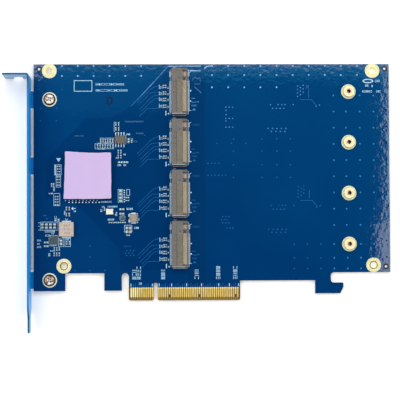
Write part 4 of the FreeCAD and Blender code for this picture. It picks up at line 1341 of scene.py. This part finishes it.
def stamp():
    """A small dark ring, where an inspector's ink would be."""
    form = Layer(PRINT)
    form.oval_ring(-21.4, 94.0, (0.75, 1.25), (1.5, 2.0), *form.heights)
    form.piece("ink_stamp", "ink")


def printed_marks():
    """All the print, in four tones: bright, faint, lit by the room, and dim."""
    bright, faint, lit, dim = (Layer(PRINT) for _ in range(4))
    top = max(SOCKET_MIDDLES)
    for y in SOCKET_MIDDLES:
        socket_print(bright, y)
        socket_print_beside(lit if y == top else dim, y)
        if y != top:
            dim.lying((17.4, y + 7.9, 5, 0.9, 8, 0.12))
    dim.lying((-14.8, 25.1, 7, 0.6, 9, 0.12))
    connector_print(bright)
    memory_print(bright)
    supply_print(bright)
    chip_print(bright)
    core_print(bright)
    corner_print(bright)
    field_print(bright)
    socket_print_faint(faint, top)
    faint_print(faint)
    stamp()
    bright.piece("printed_marks", "print")
    faint.piece("printed_marks_faint", "faint_print")
    lit.piece("printed_marks_lit", "small_via")
    dim.piece("printed_marks_dim", "faint_via")


# Thermal pad

# Clockwise from the upper left corner: how far each corner is moved, and how far the next side bows
SHEET_CORNERS = ((0.25, 0.25), (0.05, -0.4), (0.15, -0.1), (-0.45, -0.2))
SHEET_BOWS = (-0.35, 0.08, 0.1, -0.12)
SHEET_SIDE_POINTS = 40
SHEET_CORNER_CUT = 0.012

# From the sheet's cut edge inwards: a share of its outline, then of its thickness
SHEET_EDGE = ((0.99, 0.0), (0.998, 0.1), (1.0, 0.4), (0.998, 0.75), (0.99, 0.93), (0.978, 0.99), (0.96, 1.0))
SHEET_TOP = (0.93, 0.88, 0.8, 0.7, 0.58, 0.45, 0.32, 0.2, 0.1, 0.03)


def ripple(point, frequency, slice_z, depth):
    """Smooth noise over the sheet: its waves per millimetre, its own slice of the noise and its depth."""
    return noise.noise(Vector((point.x * frequency, point.y * frequency, slice_z))) * depth


def sheet_outline(low, high):
    """The pad's cut edge as it lies, clockwise from its upper left corner, relative to its middle."""
    half_x, half_y = (high.x - low.x) / 2, (high.y - low.y) / 2
    square = ((-half_x, half_y), (half_x, half_y), (half_x, -half_y), (-half_x, -half_y))
    corners = [Vector(corner) + Vector(move) for corner, move in zip(square, SHEET_CORNERS)]
    outline = []
    for start, end, bow in zip(corners, corners[1:] + corners[:1], SHEET_BOWS):
        run = (end - start).normalized()
        outwards = Vector((-run.y, run.x))
        for j in range(SHEET_SIDE_POINTS):
            share = SHEET_CORNER_CUT + (1 - 2 * SHEET_CORNER_CUT) * j / (SHEET_SIDE_POINTS - 1)
            point = start.lerp(end, share)
            out = bow * math.sin(math.pi * share) ** 1.5 + ripple(point, 0.35, 5.7, 0.12)
            outline.append(point + outwards * out)
    return outline


def sag(point):
    """How far the sheet's top lies under its full height."""
    return 0.1 + ripple(point, 0.16, 3.1, 0.1) + ripple(point, 0.7, 8.3, 0.025)


def thermal_sheet():
    """The soft pad: cut by hand, a little uneven round its edge, its top gently sagging."""
    low, high = span("thermal_pad")
    centre = middle((low, high))
    outline = sheet_outline(low, high)

    def ring(share, heights):
        return [(centre.x + p.x * share, centre.y + p.y * share, z) for p, z in zip(outline, heights)]

    rings = []
    for share, rise in SHEET_EDGE:
        level_z = low.z + (high.z - low.z) * rise
        rings.append(ring(share, [level_z - sag(point) * rise ** 3 for point in outline]))
    for share in SHEET_TOP:
        rings.append(ring(share, [high.z - sag(point * share) for point in outline]))
    form = Form()
    form.loft(rings)
    sheet = form.piece("thermal_pad_sheet", "pad", "thermal_pad", crease=60.0)
    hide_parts("thermal_pad")


# Fasteners


def standoff_threads():
    """The thread's crests down each standoff's bore and a ring at its mouth, in painted shade, and the
    chamfer round its top.
    """
    threads, crowns = Form(), Form()
    for low, high in STANDOFFS:
        x, y, _ = middle((low, high))
        top = high.z
        # Painted shade: the bore's wall, a ring at its mouth and the crests take the dark bore tone.
        threads.ring(x, y, 0.79, 0.83, low.z + 0.02, top - 0.06, 24)
        threads.ring(x, y, 0.79, 0.96, top - 0.06, top + 0.006, 32)
        z = low.z + 0.3
        while z < top - 0.3:
            crest = 0.74 - 0.42 * (top - z) / (top - low.z)
            threads.turned(x, y, [(0.82, z), (crest, z + 0.1), (0.82, z + 0.2)], 24, closed=True)
            z += 0.35
        outer = [(0.95, top - 0.05), (1.62, top - 0.05), (1.62, top + 0.004)]
        chamfer = [(1.45, top + 0.03), (1.12, top + 0.03), (0.97, top - 0.02)]
        crowns.turned(x, y, outer + chamfer, 40, closed=True)
    threads.piece("standoff_threads", "bore", "standoff_brass")
    crowns.piece("standoff_crowns", "copper_blush", "standoff_brass")


def screw_details():
    """A flange line round each screw's head, its cross recess in painted shade with a painted glint at its
    middle, and the thread's turns below the lugs.
    """
    form, recesses, glints = Form(), Form(), Form()
    reach, width = 1.0, 0.55
    for low, high in SCREWS:
        x, y, _ = middle((low, high))
        rim = FACE + 0.7
        flange = [(2.7, rim - 0.3), (2.82, rim - 0.3), (2.82, rim - 0.12), (2.7, rim - 0.06)]
        form.turned(x, y, flange, 48, closed=True)
        z = low.z + 0.05
        while z < BACK - 0.95:
            form.turned(x, y, [(1.4, z), (1.5, z + 0.12), (1.4, z + 0.24)], 28, closed=True)
            z += 0.4
        # Painted shade: the cross recess as a dark raised stroke.
        # The second arm stands a hair higher, so that the tops of the two don't coincide
        for turn, top in ((35.0, high.z + 0.01035), (125.0, high.z + 0.01125)):
            dx, dy = reach * math.cos(math.radians(turn)), reach * math.sin(math.radians(turn))
            recesses.stroke([(x - dx, y - dy), (x + dx, y + dy)], width, high.z - 0.05, top)
        # Painted glint: a bright disc at the middle of the recess.
        glints.disc(x, y, 0.45, high.z - 0.05, high.z + 0.02)
    form.piece("screw_details", "screw", "screw_steel")
    recesses.piece("screw_recesses", "bore", "screw_steel")
    glints.piece("screw_glints", "tin", "screw_steel")


# Solder side, behind the switch chip


CHIP_X, CHIP_Y, _ = middle(span("switch_chip_substrate"))


def decoupling_group():
    """A small block of capacitors, where such boards carry them."""
    bodies, ends, solder = Form(), Form(), Form()
    half_length, half_width, height = 0.5, 0.25, 0.5
    skin, wrap = 0.02, 0.22
    low = BACK - height
    for x in (CHIP_X + (i - 1.5) * 2.6 for i in range(4)):
        for y in (CHIP_Y + (j - 1.5) * 2.0 for j in range(4)):
            bodies.block(x - 0.3, x + 0.3, y - half_width, y + half_width, low, BACK)
            width = half_width + skin
            for x0 in (x - half_length - skin, x + half_length - 0.2):
                ends.block(x0, x0 + wrap, y - width, y + width, low - skin, BACK)
            for end in SIDES:
                slope = ((0.52, 0.3), (0.64, 0.12), (0.82, 0.03))
                stations = [(end * reach, 0.28, rise) for reach, rise in slope]
                solder.solder(x, y, False, stations, taper=0.26 / 0.28, side=-1)
    bodies.piece("decoupling_bodies", "ceramic", "ceramic_tan")
    ends.piece("decoupling_ends", "tin", "tin")
    solder.piece("decoupling_solder", "solder", "tin")


def solder_side_vias():
    """The ends of the switch chip's vias, on the chip's own ball grid."""
    form = Form()
    pitch, half, inner = 1.0, 8, 6
    profile = [(0.24, BACK - SUNK), (0.24, BACK - 0.03), (0.1, BACK - 0.03), (0.06, BACK - 0.01)]
    for i in range(-half, half + 1):
        for j in range(-half, half + 1):
            if max(abs(i), abs(j)) >= inner:
                form.turned(CHIP_X + i * pitch, CHIP_Y + j * pitch, profile, 8)
    form.piece("chip_via_ends", "tented_via")


for build in (
    hole_plating, standoff_lands, screw_lands, fiducials, vias, chip_row_vias, lane_copper, guard_copper,
    routing_fields, jumper_marks, connector_window, contact_tips, contact_feeds, chip_ends,
    memory_chip_finish, package_lands, package_marks, inductor_finish, sockets, printed_marks,
    thermal_sheet, standoff_threads, screw_details, decoupling_group, solder_side_vias,
):
    build()


# Studio

CAMERA_PLACE = (-2.3, 16.7, FACE + 815.4)
CAMERA_TILTS = (2.131, -1.632, -0.182)
CAMERA_LENS = 156.17
SENSOR_WIDTH = 36.0
FLOOR_SIZE = 9000.0
FLOOR_GAP = 0.05
FLOOR_GLOW = 0.19
FLOOR_GLOW_COLOUR = (1.0, 0.86, 0.72, 1.0)
WORLD_STRENGTH = 0.45


def put(item):
    bpy.context.scene.collection.objects.link(item)
    return item


def camera():
    """Straight above the card, from a little left of its middle."""
    data = bpy.data.cameras.new("camera")
    data.lens = CAMERA_LENS
    data.sensor_width = SENSOR_WIDTH
    data.clip_start = 10 * MM
    data.clip_end = 20.0
    turn = Matrix.Identity(4)
    for angle, axis in zip(CAMERA_TILTS, "XYZ"):
        turn = turn @ Matrix.Rotation(math.radians(angle), 4, axis)
    item = put(bpy.data.objects.new("camera", data))
    item.matrix_world = Matrix.Translation(Vector(CAMERA_PLACE) * MM) @ turn
    bpy.context.scene.camera = item


def floor():
    """The table, touched by the bracket's solder-side edge and by the board's far end."""
    touch = span("bracket")[0].z
    slope = (BACK - touch) / (BOARD_HIGH.x - BOARD_LOW.x)
    half = FLOOR_SIZE / 2
    corners = ((-half, -half), (half, -half), (half, half), (-half, half))
    points = [Vector((x, y, touch - FLOOR_GAP + slope * (x - BOARD_LOW.x))) * MM for x, y in corners]
    mesh = bpy.data.meshes.new("floor")
    mesh.from_pydata(points, [], [(0, 1, 2, 3)])
    item = put(bpy.data.objects.new("floor", mesh))
    paper = blotched("floor_paper", (250, 250, 250), (253, 253, 253), 40.0, (0.8, 0.9), specular=0.1)
    mesh.materials.append(paper)
    shader = paper.node_tree.nodes["Principled BSDF"]
    shader.inputs["Emission Color"].default_value = FLOOR_GLOW_COLOUR
    shader.inputs["Emission Strength"].default_value = FLOOR_GLOW


WHITE = (1, 1, 1)
COOL = (0.08, 0.7, 1.0)
PANEL_HEIGHT = 1.0
STRIP_HEIGHT = 0.816

# Panels round a dark middle, so that the board's gloss mirrors nothing but thin edge lights:
# name, x range, y range and height in metres, radiance and colour
PANELS = (
    ("left_panel", (-1.15, -0.19), (-0.5, 0.9), PANEL_HEIGHT, 2.25, WHITE),
    ("right_panel", (0.34, 2.2), (-0.5, 0.9), PANEL_HEIGHT, 1.4, WHITE),
    ("near_panel", (-0.19, 0.34), (-0.9, -0.08), PANEL_HEIGHT, 0.5, WHITE),
    ("far_panel", (-0.19, 0.34), (0.31, 1.1), PANEL_HEIGHT, 3.0, WHITE),
    ("edge_light_right", (0.2205, 0.262), (-0.06, 0.26), STRIP_HEIGHT, 6.0, (0.78, 0.97, 1.0)),
    ("edge_light_low", (0.2125, 0.2203), (-0.06, 0.055), STRIP_HEIGHT, 4.5, WHITE),
    ("edge_light_top", (0.049, 0.2203), (0.2042, 0.24), STRIP_HEIGHT, 4.4, (0.7, 0.85, 1.0)),
    ("edge_light_left", (-0.102, 0.049), (0.2038, 0.24), STRIP_HEIGHT, 2.7, (0.45, 0.95, 0.9)),
    ("upper_glow", (-0.102, 0.03), (0.19, 0.2038), STRIP_HEIGHT, 0.8, COOL),
    ("upper_glow_fade", (-0.102, 0.03), (0.16, 0.19), STRIP_HEIGHT, 0.45, COOL),
    ("edge_light_corner", (-0.125, -0.104), (0.196, 0.216), STRIP_HEIGHT, 5.5, WHITE),
)


def panel(name, x_range, y_range, height, radiance, colour):
    """A soft rectangular light over the table, facing down."""
    (x0, x1), (y0, y1) = x_range, y_range
    data = bpy.data.lights.new(name, "AREA")
    data.shape = "RECTANGLE"
    data.size, data.size_y = x1 - x0, y1 - y0
    data.energy = radiance * math.pi * data.size * data.size_y
    data.color = colour
    put(bpy.data.objects.new(name, data)).location = ((x0 + x1) / 2, (y0 + y1) / 2, height)


def sky():
    """A world that is light low down and dark overhead."""
    world = bpy.data.worlds.new("studio")
    world.use_nodes = True
    tree = world.node_tree
    place = add_node(tree, "TexCoord", {}).outputs["Generated"]
    height = add_node(tree, "SeparateXYZ", {0: place}).outputs["Z"]
    ramp = add_node(tree, "ValToRGB", {"Fac": height})
    for element, position, tone in zip(ramp.color_ramp.elements, (0.55, 0.9), (1.0, 0.01)):
        element.position = position
        element.color = (tone, tone, tone, 1.0)
    background = tree.nodes["Background"]
    tree.links.new(ramp.outputs["Color"], background.inputs["Color"])
    background.inputs["Strength"].default_value = WORLD_STRENGTH
    bpy.context.scene.world = world


camera()
floor()
for settings in PANELS:
    panel(*settings)
for y in (0.193, 0.1975, 0.2015):
    panel(f"ripple_light_{int(y * 10000)}", (0.03, 0.2203), (y, y + 0.002), STRIP_HEIGHT, 3.4, COOL)
sky()
bpy.context.scene.view_settings.view_transform = "Standard"
